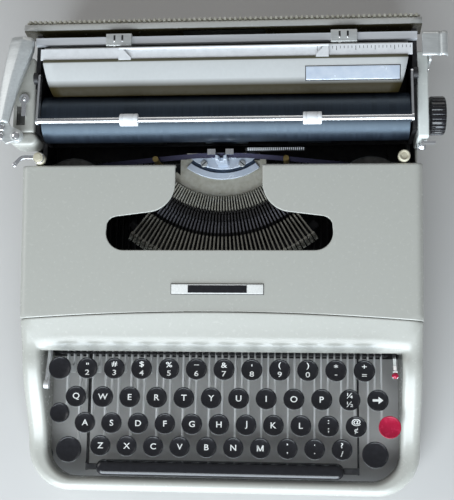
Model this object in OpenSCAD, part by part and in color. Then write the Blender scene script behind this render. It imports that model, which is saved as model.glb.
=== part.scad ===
// Portable typewriter with a lift-off ribbon cover, in millimetres.
// The front is -Y, +Z is up, and the origin is the middle of the footprint on the table.

/* [Keyboard] */
// Distance between neighbouring keys of a row
key_pitch = 18.4; // [17.6:0.1:19.6]
// Diameter of a character key
key_d = 14; // [12:0.5:15]
// Thickness of a key top
key_h = 4; // [3:0.5:5]
// Height of the lower row's tops above the table
lower_row_z = 32; // [31:0.5:36]
// Rise from one row to the next
row_rise = 9; // [8:0.5:11]
// Depth from the lip to the number row
lip_gap = 12.1; // [10:0.1:16]
// Depth from the number row to the upper row
row_step_1 = 18.9; // [16:0.1:21]
// Depth from the upper row to the home row
row_step_2 = 17.6; // [16:0.1:21]
// Depth from the home row to the lower row
row_step_3 = 15.8; // [15:0.1:21]
// Depth from the lower row to the space bar
space_step = 15.1; // [14.5:0.1:18]
// Depth of the space bar
space_d = 11; // [8:0.5:12]
// Length of the space bar
space_w = 171.5; // [140:0.5:176]
// Diameter of the shift keys
shift_d = 17.6; // [14:0.2:17.6]
// Diameter of the tabulator key
tab_d = 14.8; // [13:0.2:16]
// Angle that a key lever turns when it is pressed
key_dip = 4; // [3:0.1:4]
// Thickness of a key lever
lever_t = 1.2; // [1:0.1:1.5]
// Height of a key lever
lever_h = 5; // [4:0.5:6]
// Underside of the key levers above the table
lever_z = 16; // [16:0.5:18]
// Diameter of the shaft that the key levers turn on
fulcrum_d = 5; // [4:0.5:6]

/* [Body] */
// Thickness of the shell, cover and rear panel
wall = 1.5; // [1:0.1:2]
// Width of the rim in front of the space bar
front_rim = 9.5; // [8:0.5:16]
// Width of the rims beside the keys
side_rim = 13.5; // [13.5:0.5:20]
// Height of the front rim
rim_z = 25; // [23:0.5:27]
// Radius of the front corners in plan
corner_r = 30; // [24:1:36]
// Radius of the key well's front corners
well_r = 20; // [14:1:22]
// Height of the lip above the number row's levers
lip_z = 52; // [48:0.5:54]
// Depth of the slope between the lip and the cover
slope_d = 23; // [18:0.5:30]
// Height where the slope meets the cover
slope_top_z = 60; // [57:0.5:61]
// Depth of the cover
cover_d = 102; // [98:0.5:112]
// Height of the cover's rear edge
cover_rear_z = 68; // [66:0.5:69]
// Height of the cover's side skirts
skirt = 8; // [6:0.5:10]
// Rise of the curved line where the cover meets the slope
part_sag = 5.3; // [3:0.1:8]
// Depth of the bay that the carriage runs in
bay_d = 94.5; // [94.5:0.5:104]
// Depth of the rear panel's rolled top
rear_d = 6.5; // [5:0.5:9]
// Height of the rear panel
rear_z = 75; // [70:0.5:77]
// Height of the bay's side walls
deck_z = 34; // [33:0.5:34]
// Height of the rubber feet
foot_h = 3; // [2:0.5:5]
// Thickness of the base plate
base_t = 1.2; // [1:0.1:2]

/* [Type basket] */
// Number of typebars on each side of the middle one
bars_side = 21; // [15:1:21]
// Angle between neighbouring typebars
bar_step = 1.8; // [1.6:0.01:1.85]
// Radius of the pivot arc of the typebars
pivot_r = 60; // [58:0.5:64]
// Height of the typebar pivots
pivot_z = 34; // [33.5:0.1:35]
// Thickness of a typebar
bar_t = 0.9; // [0.7:0.05:0.95]
// Height of a typebar
bar_h = 3.6; // [3:0.1:4]
// Height of the inked tape
tape_h = 13; // [11:0.5:13]
// Diameter of the ribbon spools
spool_d = 48; // [40:0.5:49]

/* [Carriage] */
// Diameter of the platen
platen_d = 32; // [28:0.5:32]
// Length of the platen
platen_l = 248; // [200:1:260]
// Height of the platen's axis
platen_z = 62; // [60:0.5:63]
// Depth from the cover's rear edge to the platen's axis
platen_gap = 33.4; // [33:0.1:36]
// Shift of the resting carriage to the right of the body's middle
carriage_x = 3; // [0:0.5:6]
// Thickness of the carriage's end plates
end_t = 3; // [2:0.1:4]
// Diameter of the platen knob
knob_d = 26; // [22:0.5:26]
// Width of the platen knob
knob_w = 11; // [8:0.5:14]
// Diameter of the platen shaft
platen_shaft_d = 8; // [6:0.5:10]
// Diameter of the carriage rails
rail_d = 6; // [5:0.1:6]
// Diameter of the paper bail's rod
bail_d = 4; // [3:0.1:5]
// Diameter of the paper bail's rollers
bail_roller_d = 8.4; // [7:0.1:8.6]
// Diameter of the feed roller
feed_d = 10; // [8:0.5:10]
// Number of teeth on the escapement wheel
escape_teeth = 20; // [12:1:30]
// Radius of the escapement wheel
escape_r = 10; // [8:0.5:11]
// Distance between the teeth of the rear rack
rack_pitch = 3.48; // [3:0.01:5]

/* [Clearances] */
// Radial clearance of a shaft or pin that turns
run_fit = 0.05; // [0.02:0.01:0.1]
// Gap between pieces that slide or lift past each other
slide_gap = 0.3; // [0.2:0.05:0.5]
// Gap between the outer keys and the well
well_gap = 0.9; // [0.5:0.1:2]

/* [Hidden] */
$fn = 48;
CUT = 1;
enamel = "#b4b2a4";
steel = "#b9bcc0";
chrome = "#d9dde2";
dark_steel = "#4a4c50";
black = "#1a1a1c";
cream = "#d8d0b4";
red = "#b01830";
ink = "#3a3358";

// Key columns: how many keys left of the middle column each row starts, and how many keys it has
ROW_START = [4.75, 5.25, 5, 4.5];
ROW_COUNT = [11, 11, 11, 10];
HOME_ROW = 2;
MIDDLE_KEY = 5;

// Places across the machine
tab_x = 6 * key_pitch + 3.8;
well_half = tab_x + tab_d / 2 + well_gap;
body_half = well_half + side_rim;
plate_t = 3;
plate_out = body_half - 5;
plate_in = plate_out - plate_t;

// Places along the machine, from the front to the back
well_d = lip_gap + row_step_1 + row_step_2 + row_step_3 + space_step + space_d / 2 + 1.5;
body_d = front_rim + well_d + slope_d + cover_d + bay_d + rear_d;
y_front = -body_d / 2;
y_well = y_front + front_rim;
y_lip = y_well + well_d;
y_part = y_lip + slope_d;
y_bay = y_part + cover_d;
y_panel = y_bay + bay_d;
y_back = body_d / 2;
ROW_Y = [
    y_lip - lip_gap,
    y_lip - lip_gap - row_step_1,
    y_lip - lip_gap - row_step_1 - row_step_2,
    y_lip - lip_gap - row_step_1 - row_step_2 - row_step_3
];
y_space = ROW_Y[3] - space_step;
function row_z(row) = lower_row_z + (3 - row) * row_rise;
function key_x(row, i) = (i - ROW_START[row]) * key_pitch;

// Frame heights
base_top = foot_h + base_t;
bridge_z = 24.5;
bridge_t = 2.5;
bridge_top = bridge_z + bridge_t;
y_fulcrum = y_bay + 10;
z_fulcrum = lever_z + lever_h / 2;
lever_eye_r = fulcrum_d / 2 + 2;
y_bridge = y_bay - 14;
bridge_d = 24;
comb_y = y_lip - 1.5;
comb_t = 1.4;
selector_y = y_lip + 15;
selector_z = 30;
selector_pin_d = 4;
selector_t = 2;
selector_x = well_half - 4;
tab_set_x = well_half - 2;

// Cover
part_r = (body_half * body_half + part_sag * part_sag) / (2 * part_sag);
y_part_mid = y_part + part_sag / 2;
function cover_z(y) = slope_top_z + (y - y_part) * (cover_rear_z - slope_top_z) / cover_d;
function slope_z(y) = lip_z + (y - y_lip) * (slope_top_z - lip_z) / slope_d;

// Type basket
y_seg = y_bay + 40;
seg_in = pivot_r - 10;
seg_shelf = pivot_r - 4;
seg_out = pivot_r + 6;
seg_half = bars_side * bar_step + 4;
seg_top = pivot_z + 4;
shelf_top = pivot_z - 0.5;
wire_r = 0.6;
slot_gap = 0.15;
y_platen = y_bay + platen_gap;
print_gap = 0.7;
y_print = y_platen - platen_d / 2 - print_gap;
print_dy = y_print - (y_seg - pivot_r);
print_dz = platen_z - pivot_z;
bar_l = norm([print_dy, print_dz]);
print_angle = atan2(print_dz, print_dy);
rest_out = pivot_r + bar_l - 5;
guard_t = 1.2;
guard_half = 30.5;
guard_r = pivot_r - 5;
guard_top = shelf_top + guard_t;

// Ribbon
spool_x = well_half - 20;
y_spool = y_bay - 16;
cup_z = bridge_top + 10;
cup_t = 1.2;
tape_z = cup_z + cup_t + 2.3;
spool_hub_r = 8;
spindle_r = 2.5;
pack_r = 18;
tape_t = 0.3;
flange_t = 1;
guide_x = 45;
y_guide = y_bay + 6.4;
guide_r = 2;
y_tape = y_bay + 11;
post_x = well_half + 0.9;
post_r = 4;
y_post = y_bay + post_r + 0.6;
post_top = cover_rear_z + 2;

// Carriage
carriage_x0 = carriage_x - platen_l / 2 - 2 - end_t;
carriage_x1 = carriage_x + platen_l / 2 + 2 + end_t;
floor_z = deck_z + 0.5;
floor_t = 1.5;
y_plate = y_bay + 21.2;
y_tail = y_bay + 90;
rail_z = deck_z - rail_d / 2;
RAIL_Y = [y_bay + 40, y_bay + 84];
shoe_w = 30;
ear_z = 75.5;
y_ear = y_bay + 52;
y_table = y_platen + 8.5;
y_scale = y_bay + 70;
scale_d = 7.5;
table_z = ear_z + 5.2;
y_rail_bar = y_bay + 81.5;
bar_rail_d = 5;
bar_rail_h = 4;
bail_dy = 6.2;
bail_gap = 0.35;
bail_dz = sqrt(pow(platen_d / 2 + bail_roller_d / 2 + bail_gap, 2) - bail_dy * bail_dy);
y_bail = y_platen - bail_dy;
z_bail = platen_z + bail_dz;
y_bail_pin = y_bay + 58;
z_bail_pin = ear_z + 3;
bail_pin_r = 1.5;
bail_arm_t = 1.4;
feed_dy = 7.4;
feed_gap = 0.3;
y_feed = y_platen - feed_dy;
z_feed = platen_z - sqrt(pow(platen_d / 2 + feed_d / 2 + feed_gap, 2) - feed_dy * feed_dy);
feed_shaft_r = 2;
y_rack = y_bay + 60.5;
rack_t = 3;
rack_z = floor_z - 4.2;
z_escape = rack_z - slide_gap - escape_r;
escape_pin_r = 2;
left_x = carriage_x0 - 15;
cover_top = 76.5;
lever_pin = [carriage_x0 - 10, y_bay + 17];
lever_pin_r = 3;
lever_bottom = cover_top + 3.5;
selector_at = [carriage_x0 - 7, y_bay + 44];
right_w = 7;
right_x = carriage_x1 + right_w;
right_top = 77;
y_right = y_bay + 15;
y_right_end = y_bay + 74;
knob_x = right_x + 1.2;
release_at = [y_bay + 68, platen_z - 4];
release_pin_r = 2;
trip_at = [y_right - 2.5, platen_z - 2];
trip_pin_r = 1;

// Rear panel and front feet
rack_plate_t = 1.6;
rack_tooth_h = 3;
y_sheet = y_back - rack_plate_t - wall;
y_frame_end = y_sheet - 5;
boss_r = side_rim / 2 - wall - 0.1;
boss_at = [well_half + side_rim / 2, y_front + 23];
rear_foot_r = 8;
SCREW_Y = [y_lip + 25, y_bay - 10, y_bay + 60];
screw_x = plate_in - 5;
screw_r = 1.5;
flange_w = 10;

// Every key lever as its place across the machine, for the comb
function row_levers(row) = [for (i = [0 : ROW_COUNT[row] - 1]) key_x(row, i)];
FUNCTION_X = [5.5, 5.75, 6] * key_pitch;
space_arm_x = 5.125 * key_pitch;
ALL_LEVERS = concat(
    row_levers(0), row_levers(1), row_levers(2), row_levers(3),
    FUNCTION_X, -FUNCTION_X, [space_arm_x, -space_arm_x]
);

function arc(at, r, a0, a1, n = 8) =
    [for (i = [0 : n]) let (a = a0 + (a1 - a0) * i / n) at + r * [cos(a), sin(a)]];
function mirrored(points) =
    concat(points, [for (i = [len(points) - 1 : -1 : 0]) [-points[i].x, points[i].y]]);

// A profile drawn in depth and height, extruded from x0 to x1
module across(x0, x1) {
    translate([x0, 0, 0])
        rotate([90, 0, 90])
            linear_extrude(x1 - x0)
                children();
}

// A round bar along the width of the machine
module rod(x0, x1, y, z, r) {
    translate([x0, y, z])
        rotate([0, 90, 0])
            cylinder(r = r, h = x1 - x0);
}

// A box given by its two corners
module box(low, high) {
    translate(low)
        cube(high - low);
}

module plan_block(inset, y_end) {
    half = body_half - inset;
    y_corner = y_front + corner_r;
    straight = body_half - corner_r;
    box([-half, y_corner, -CUT], [half, y_end, 90]);
    box([-straight, y_front + inset, -CUT], [straight, y_corner + CUT, 90]);
    for (side = [-1, 1])
        translate([side * straight, y_corner, -CUT])
            cylinder(r = corner_r - inset, h = 90 + CUT);
}

module well_block(grow, z0) {
    half = well_half + grow;
    y_corner = y_well + well_r;
    straight = well_half - well_r;
    box([-half, y_corner, z0], [half, y_lip, 90]);
    box([-straight, y_well - grow, z0], [straight, y_corner + CUT, 90]);
    for (side = [-1, 1])
        translate([side * straight, y_corner, z0])
            cylinder(r = well_r + grow, h = 90 - z0);
}

// The side view of the shell: front rim, rising curve, slope and the bay behind the cover
edge_r = 5;
curve_y = y_well + 15;
function rise(t) = rim_z + (lip_z - rim_z) * (1 - cos(180 * t)) / 2;
function shell_profile(drop, low) = concat(
    [[y_front - drop, low]],
    [for (p = arc([y_front + edge_r, rim_z - edge_r], edge_r, 180, 90)) [p.x, p.y - drop]],
    [for (i = [0 : 14]) [curve_y + (y_lip - curve_y) * i / 14, rise(i / 14) - drop]],
    [[y_part + 6, slope_z(y_part + 6) - drop],
     [y_bay + 2, slope_z(y_part + 6) - drop],
     [y_bay + 2, deck_z - drop],
     [y_sheet + drop, deck_z - drop],
     [y_sheet + drop, low]]
);

// Everything in front of the curved line where the cover meets the slope
module front_of_cover(r) {
    translate([0, y_part_mid - part_r, -2])
        cylinder(r = r, h = 120, $fn = 720);
}

function seat_z(y) = cover_z(y) - skirt - slide_gap;
module cover_space() {
    difference() {
        across(-body_half - CUT, body_half + CUT)
            polygon([
                [y_part - 8, seat_z(y_part - 8)], [y_bay + 1, seat_z(y_bay + 1)],
                [y_bay + 1, 100], [y_part - 8, 100]
            ]);
        front_of_cover(part_r);
    }
}
module mechanism_space() {
    half = body_half - wall;
    difference() {
        box([-half, y_part - 8, -CUT], [half, y_sheet + CUT, 100]);
        front_of_cover(part_r);
    }
}

// The way of the carriage's rack over the side walls
module rack_path() {
    box([-body_half - CUT, y_rack - 1, rack_z - 0.8],
        [body_half + CUT, y_rack + rack_t + 1, deck_z + CUT]);
}

collar_z = 12;
module body_shell() color(enamel)
    difference() {
        union() {
            difference() {
                intersection() {
                    plan_block(0, y_sheet);
                    across(-body_half - CUT, body_half + CUT)
                        polygon(shell_profile(0, foot_h));
                }
                difference() {
                    intersection() {
                        plan_block(wall, y_sheet + CUT);
                        across(-body_half - CUT, body_half + CUT)
                            polygon(shell_profile(wall, -CUT));
                    }
                    well_block(wall, collar_z);
                }
            }
            for (side = [-1, 1])
                translate([side * boss_at.x, boss_at.y, foot_h])
                    cylinder(r = boss_r, h = rim_z - foot_h - wall / 2);
        }
        well_block(0, -2);
        cover_space();
        mechanism_space();
        rack_path();
    }

// Opening of the cover: a neck in front of the platen that flares to a wide brim over the typebars
neck_half = 29.5;
flare_r = 20;
hat_half = 76.5;
brim_r = 7.5;
toe_r = 12;
y_hat = y_bay - 58;
module hat() {
    polygon(mirrored(concat(
        [[neck_half, y_bay + CUT]],
        arc([neck_half + flare_r, y_bay - 12.5], flare_r, 180, 262),
        arc([hat_half - brim_r, y_hat + 15.5], brim_r, 82, 0),
        arc([hat_half - toe_r, y_hat + toe_r], toe_r, 0, -90)
    )));
}

module ribbon_cover() color(enamel)
    difference() {
        across(-body_half, body_half)
            polygon([
                [y_part - 8, cover_z(y_part - 8)], [y_bay, cover_z(y_bay)],
                [y_bay, cover_z(y_bay) - skirt], [y_part - 8, cover_z(y_part - 8) - skirt]
            ]);
        across(-body_half + wall, body_half - wall)
            polygon([
                [y_part - 9, cover_z(y_part - 9) - wall], [y_bay + CUT, cover_z(y_bay + CUT) - wall],
                [y_bay + CUT, 0], [y_part - 9, 0]
            ]);
        front_of_cover(part_r + slide_gap);
        linear_extrude(100)
            hat();
    }

// The rear panel is one bent sheet: a back, a rolled top and a slanted apron with a window
apron_h = 14;
apron_lean = 4.5;
WINDOW_X = [-26, 31];
module rear_panel() color(enamel)
    difference() {
        across(-body_half, body_half)
            polygon([
                [y_sheet + wall, foot_h], [y_sheet + wall, rear_z], [y_panel + 1.5, rear_z],
                [y_panel + 1.5 - apron_lean, rear_z - apron_h],
                [y_panel + 3 - apron_lean, rear_z - apron_h],
                [y_panel + 2.6, rear_z - wall], [y_sheet, rear_z - wall], [y_sheet, foot_h]
            ]);
        box([WINDOW_X[0], y_panel - 8, rear_z - 12], [WINDOW_X[1], y_panel + 2, rear_z - 4]);
    }

module tab_rack() color(steel) {
    half = body_half - 1;
    teeth = floor(2 * half / rack_pitch);
    start = -teeth * rack_pitch / 2;
    translate([0, y_back, 0])
        rotate([90, 0, 0])
            linear_extrude(rack_plate_t)
                polygon(concat(
                    [[-half, rear_z - 16], [-half, rear_z - rack_tooth_h]],
                    [for (i = [0 : teeth - 1], p = [[0.1, 0], [0.3, 1], [0.7, 1], [0.9, 0]])
                        [start + (i + p.x) * rack_pitch, rear_z - rack_tooth_h * (1 - p.y)]],
                    [[half, rear_z - rack_tooth_h], [half, rear_z - 16]]
                ));
}

module screw_pattern() {
    for (side = [-1, 1], y = SCREW_Y)
        translate([side * screw_x, y, 0])
            children();
}

module base_plate() color(dark_steel)
    difference() {
        box([-body_half + wall, comb_y - 1, foot_h], [body_half - wall, y_sheet, base_top]);
        screw_pattern()
            translate([0, 0, foot_h - CUT])
                cylinder(r = screw_r + run_fit, h = base_t + 2 * CUT);
    }

module base_screws() color(steel)
    screw_pattern() {
        translate([0, 0, foot_h - 1.6])
            cylinder(r = 2 * screw_r, h = 1.6);
        translate([0, 0, foot_h - 0.5])
            cylinder(r = screw_r, h = base_t + plate_t);
    }

module rubber_feet() color(black)
    for (side = [-1, 1]) {
        translate([side * boss_at.x, boss_at.y, 0])
            cylinder(r = boss_r, h = foot_h);
        translate([side * (plate_in - flange_w), y_frame_end - 10, 0])
            cylinder(r = rear_foot_r, h = foot_h);
    }

module main_frame() color(dark_steel)
    difference() {
        union() {
            for (side = [0, 1])
                mirror([side, 0, 0]) {
                    box([plate_in, comb_y - 1, base_top], [plate_out, y_frame_end, deck_z]);
                    box([plate_in, y_bay - 45, base_top], [plate_out, y_bay + 2, cup_z]);
                    box([plate_in - flange_w, comb_y + 6, base_top],
                        [plate_in + 1, y_frame_end, base_top + plate_t]);
                }
            box([-plate_in - 1, y_bridge, bridge_z], [plate_in + 1, y_bridge + bridge_d, bridge_top]);
            box([-plate_in - 1, y_seg - rest_out - 3, bridge_z],
                [plate_in + 1, y_seg - rest_out + 7, bridge_top]);
            rod(selector_x - selector_t, plate_in + 1, selector_y, selector_z, selector_pin_d / 2);
            rod(-plate_in - 1, -tab_set_x + selector_t, selector_y, selector_z, selector_pin_d / 2);
            box([-14, y_rack + rack_t + 1, base_top], [14, y_rack + rack_t + 3, z_escape + 6]);
            translate([0, y_rack + rack_t + 2, z_escape])
                rotate([90, 0, 0])
                    cylinder(r = escape_pin_r, h = rack_t + 2.5);
        }
        screw_pattern()
            translate([0, 0, base_top - CUT])
                cylinder(r = screw_r + run_fit, h = plate_t + 2 * CUT);
        rack_path();
    }

module carriage_rails() color(chrome)
    for (y = RAIL_Y)
        rod(-plate_in, plate_in, y, rail_z, rail_d / 2);

module key_fulcrum_shaft() color(steel)
    rod(-plate_in, plate_in, y_fulcrum, z_fulcrum, fulcrum_d / 2);

comb_half = FUNCTION_X[2] + 4;
comb_floor = lever_z - (y_fulcrum - comb_y) * tan(key_dip) - 1;
module key_guide_comb() color(dark_steel)
    difference() {
        box([-comb_half, comb_y, base_top], [comb_half, comb_y + comb_t, lever_z + lever_h + 9]);
        for (x = ALL_LEVERS)
            translate([x - lever_t / 2 - slide_gap, comb_y - CUT, comb_floor])
                cube([lever_t + 2 * slide_gap, comb_t + 2 * CUT, 40]);
    }

module bell() color(chrome)
    translate([-70, y_rack + 4, base_top]) {
        difference() {
            translate([0, 0, 3])
                sphere(r = 16);
            translate([0, 0, 3])
                sphere(r = 16 - wall);
            translate([0, 0, -20 + 3])
                cube(40, center = true);
        }
        cylinder(r = 2.5, h = 18.5);
    }

// A ring sector about the middle of the type arc, open to the front
module sector(r0, r1, z0, z1, half) {
    translate([0, y_seg, 0])
        rotate([0, 0, -90 - half])
            rotate_extrude(angle = 2 * half, $fn = 180)
                translate([r0, z0])
                    square([r1 - r0, z1 - z0]);
}

// Places its children at a typebar's pivot, with the bar's length along -Y
module at_bar(i) {
    translate([0, y_seg, 0])
        rotate([0, 0, i * bar_step])
            translate([0, -pivot_r, pivot_z])
                children();
}

slot_w = bar_t + 2 * slot_gap;
slot_floor = pivot_z - 4.5;
module type_segment() color(steel) {
    difference() {
        union() {
            sector(seg_in, seg_shelf + 0.5, bridge_top, shelf_top, seg_half);
            sector(seg_shelf, seg_out, bridge_top, seg_top, seg_half);
        }
        for (i = [-bars_side : bars_side])
            at_bar(i)
                box([-slot_w / 2, -8, slot_floor - pivot_z], [slot_w / 2, 4 + CUT, 20]);
    }
    translate([0, y_seg, pivot_z])
        rotate([0, 0, -90 - seg_half + 1])
            rotate_extrude(angle = 2 * seg_half - 2, $fn = 180)
                translate([pivot_r, 0])
                    circle(r = wire_r);
}

// One typebar lying forward from its pivot, with its slug turned to meet the platen
heel = 2.8;
slug = [2.3, 2.4, 7];
module typebar() {
    difference() {
        box([-bar_t / 2, -bar_l + 1, -bar_h / 2], [bar_t / 2, heel, bar_h / 2]);
        rod(-bar_t, bar_t, 0, 0, wire_r + run_fit);
    }
    translate([0, -bar_l, 0])
        rotate([-print_angle, 0, 0])
            translate([-slug.x / 2, 0, -slug.z / 2])
                cube(slug);
}

module typebars() color(steel)
    for (i = [-bars_side : bars_side])
        if (i != 0)
            at_bar(i)
                typebar();

module centre_typebar() color(chrome)
    at_bar(0)
        typebar();

rest_w = 5;
module typebar_rest() color(dark_steel)
    sector(rest_out - rest_w, rest_out, bridge_top, pivot_z - bar_h / 2 - slide_gap, seg_half);

// The bright plate behind the segment, with the slot of the vibrator and a split post that steers the type
vibrator_half = 9;
vibrator_t = 1;
y_vibrator = y_tape + tape_t + 0.9;
plate_screw_x = 13.5;
plate_screw_r = 2.5;
y_plate_screw = y_bay + 8;
steer_w = 7.8;
steer_d = 3.4;
steer_split = 2.4;
steer_split_h = 7;
steer_top = tape_z + tape_h + 0.5;
y_steer = y_tape - 1.2;
module segment_plate() color(chrome)
    difference() {
        union() {
            intersection() {
                sector(10, guard_r, shelf_top, guard_top, 60);
                box([-guard_half, y_bay - 30, 0], [guard_half, y_bay + 16, 60]);
            }
            for (side = [-1, 1])
                translate([side * plate_screw_x, y_plate_screw, guard_top - 0.2])
                    cylinder(r = plate_screw_r, h = 1.2);
            box([-steer_w / 2, y_steer - steer_d, guard_top - 0.2], [steer_w / 2, y_steer, steer_top]);
        }
        box([-vibrator_half - slide_gap, y_vibrator - slide_gap, 0],
            [vibrator_half + slide_gap, y_vibrator + vibrator_t + slide_gap, 60]);
        box([-steer_split / 2, y_steer - steer_d - CUT, steer_top - steer_split_h],
            [steer_split / 2, y_steer + CUT, steer_top + CUT]);
    }

// Two prongs on one plate, with a gap for the type
prong_gap = 3.5;
vibrator_low = shelf_top - 4;
module ribbon_vibrator() color(chrome) {
    y0 = y_vibrator;
    y1 = y_vibrator + vibrator_t;
    box([-vibrator_half, y0, vibrator_low], [vibrator_half, y1, tape_z + 6]);
    for (side = [0, 1])
        mirror([side, 0, 0]) {
            box([prong_gap, y0, tape_z + 5], [vibrator_half, y1, tape_z + tape_h + 4]);
            box([prong_gap, y_tape - 1.6, tape_z + tape_h + 2.8],
                [vibrator_half, y1, tape_z + tape_h + 4]);
        }
}

// A thin line guide that stands in front of the platen, right of the type, on a foot
guide_foot = [17, 26];
guide_end = 58;
guide_t = 1.2;
y_line_guide = y_bay + 12.8;
z_line_guide = platen_z - 5.5;
guide_strip_h = 6;
module line_guide() color(steel) {
    across(guide_foot[0], guide_foot[1])
        polygon([
            [y_line_guide - 2.3, guard_top], [y_line_guide + guide_t, guard_top],
            [y_line_guide + guide_t, z_line_guide], [y_line_guide, z_line_guide],
            [y_line_guide, guard_top + guide_t], [y_line_guide - 2.3, guard_top + guide_t]
        ]);
    box([guide_foot[0], y_line_guide, z_line_guide - guide_strip_h],
        [guide_end, y_line_guide + guide_t, z_line_guide]);
}

module ribbon_guides() color("#b59a5a")
    for (side = [-1, 1])
        translate([side * guide_x, y_guide, 0]) {
            translate([0, 0, bridge_top])
                cylinder(r = guide_r, h = tape_z + tape_h + 4 - bridge_top);
            translate([0, 0, bridge_top])
                cylinder(r = guide_r + 1.5, h = 2);
        }

module ribbon_cups() color(dark_steel)
    for (side = [0, 1])
        mirror([side, 0, 0]) {
            translate([spool_x, y_spool, cup_z]) {
                cylinder(r = spool_d / 2, h = cup_t);
                cylinder(r = spindle_r, h = tape_z + tape_h + 5 - cup_z);
            }
            box([spool_x + 8, y_spool - 6, cup_z], [plate_in + 2, y_spool + 6, cup_z + cup_t]);
        }

module spool(x) {
    translate([x, y_spool, 0]) {
        difference() {
            union() {
                for (z = [tape_z - 0.3 - flange_t, tape_z + tape_h + 0.3])
                    translate([0, 0, z])
                        cylinder(r = spool_d / 2, h = flange_t);
                translate([0, 0, tape_z - 0.3 - flange_t])
                    cylinder(r = spool_hub_r, h = tape_h + 0.6 + 2 * flange_t);
            }
            cylinder(r = spindle_r + run_fit, h = 90);
        }
        translate([0, 0, tape_z])
            difference() {
                cylinder(r = pack_r, h = tape_h);
                translate([0, 0, -CUT])
                    cylinder(r = spool_hub_r + run_fit, h = tape_h + 2 * CUT);
            }
    }
}
module ribbon_spool_left() color(dark_steel) spool(-spool_x);
module ribbon_spool_right() color(dark_steel) spool(spool_x);

// The tape from the back of one spool, behind both guides and across the print point
TAPE = [
    [spool_x - 2, y_spool + pack_r + 0.5],
    [guide_x, y_guide + guide_r + 0.1],
    [vibrator_half + 6, y_tape]
];
module ribbon_tape() color(ink)
    translate([0, 0, tape_z])
        linear_extrude(tape_h) {
            front = mirrored(TAPE);
            polygon(concat(front, [for (i = [len(front) - 1 : -1 : 0]) front[i] + [0, tape_t]]));
        }

pin_top_r = 1.5;
lock_t = 1.2;
lock_half_w = 1.4;
lock_bend = [-11, 0.6];
lock_tip = [-16.6, -4.6];
module cover_posts() color(cream) {
    for (side = [-1, 1])
        translate([side * post_x, y_post, bridge_top])
            cylinder(r = post_r, h = post_top - bridge_top);
    translate([-post_x, y_post, post_top])
        cylinder(r = pin_top_r, h = lock_t + 0.8);
}

// A flat strip from one point to another, lying on z = 0
module flat_link(from, to, half_w, t) {
    along = to - from;
    translate(from)
        rotate([0, 0, atan2(along.y, along.x)])
            box([0, -half_w, 0], [norm(along), half_w, t]);
}
module carriage_lock() color(chrome)
    translate([-post_x, y_post, post_top])
        difference() {
            union() {
                cylinder(r = post_r - 0.2, h = lock_t);
                flat_link([0, 0], lock_bend, lock_half_w, lock_t);
                translate(lock_bend)
                    cylinder(r = lock_half_w, h = lock_t);
                flat_link(lock_bend, lock_tip, lock_half_w, lock_t);
                translate(lock_tip)
                    cylinder(r = lock_half_w + 0.5, h = lock_t);
            }
            translate([0, 0, -CUT])
                cylinder(r = pin_top_r + run_fit, h = lock_t + 2 * CUT);
        }

// A dished key top, standing on z = 0
module key_top(d) {
    r = d / 2;
    rotate_extrude()
        polygon([
            [0, 0], [r - 1, 0], [r, 1.2], [r, key_h - 0.8], [r - 0.7, key_h], [0, key_h - 0.6]
        ]);
}

// A lever from the fulcrum shaft forward to a key's place
module lever(x, y) {
    difference() {
        union() {
            box([x - lever_t / 2, y - 2.5, lever_z], [x + lever_t / 2, y_fulcrum, lever_z + lever_h]);
            rod(x - lever_t / 2, x + lever_t / 2, y_fulcrum, z_fulcrum, lever_eye_r);
        }
        rod(x - lever_t, x + lever_t, y_fulcrum, z_fulcrum, fulcrum_d / 2 + run_fit);
    }
}

// A lever, the stem at its front and the key top on it
module key(x, y, top, d, key_at) {
    lever(x, y);
    box([x - lever_t / 2, y - 2.5, lever_z + lever_h - CUT],
        [x + lever_t / 2, y + 2.5, top - key_h + 0.2]);
    translate([key_at, y, top - key_h])
        key_top(d);
}

module key_row(row) {
    for (i = [0 : ROW_COUNT[row] - 1])
        if (row != HOME_ROW || i != MIDDLE_KEY)
            key(key_x(row, i), ROW_Y[row], row_z(row), key_d, key_x(row, i));
}
module number_row_keys() color(black) key_row(0);
module upper_row_keys() color(black) key_row(1);
module home_row_keys() color(black) key_row(2);
module lower_row_keys() color(black) key_row(3);
module centre_key() color(black) key(0, ROW_Y[HOME_ROW], row_z(HOME_ROW), key_d, 0);

margin_d = 15;
lock_d = 13.5;
module margin_release_key() color(black)
    key(-FUNCTION_X[1], ROW_Y[0], row_z(0), margin_d, -FUNCTION_X[1] - 0.3);
module shift_lock_key() color(black)
    key(-FUNCTION_X[2], ROW_Y[2] + 6.4, row_z(2) + 2, lock_d, -FUNCTION_X[2] + 1.1);
module backspace_key() color(black)
    key(FUNCTION_X[1], ROW_Y[1], row_z(1), key_d, FUNCTION_X[1]);
module tab_key() color(red)
    key(FUNCTION_X[2], ROW_Y[2], row_z(2), tab_d, tab_x);

// Both shift keys on one frame, joined by a bar under the other levers
shift_bar = [4, 4];
shift_bar_y = y_fulcrum - 10;
shift_bar_top = lever_z - 3;
module shift_keys() color(black) {
    for (side = [-1, 1]) {
        x = side * FUNCTION_X[0];
        key(x, ROW_Y[3] - 3, row_z(3), shift_d, x + side * 3.8);
        box([x - lever_t / 2, shift_bar_y, shift_bar_top - shift_bar.y],
            [x + lever_t / 2, shift_bar_y + shift_bar.x, lever_z + 1]);
    }
    box([-FUNCTION_X[0], shift_bar_y, shift_bar_top - shift_bar.y],
        [FUNCTION_X[0], shift_bar_y + shift_bar.x, shift_bar_top]);
}

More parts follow.
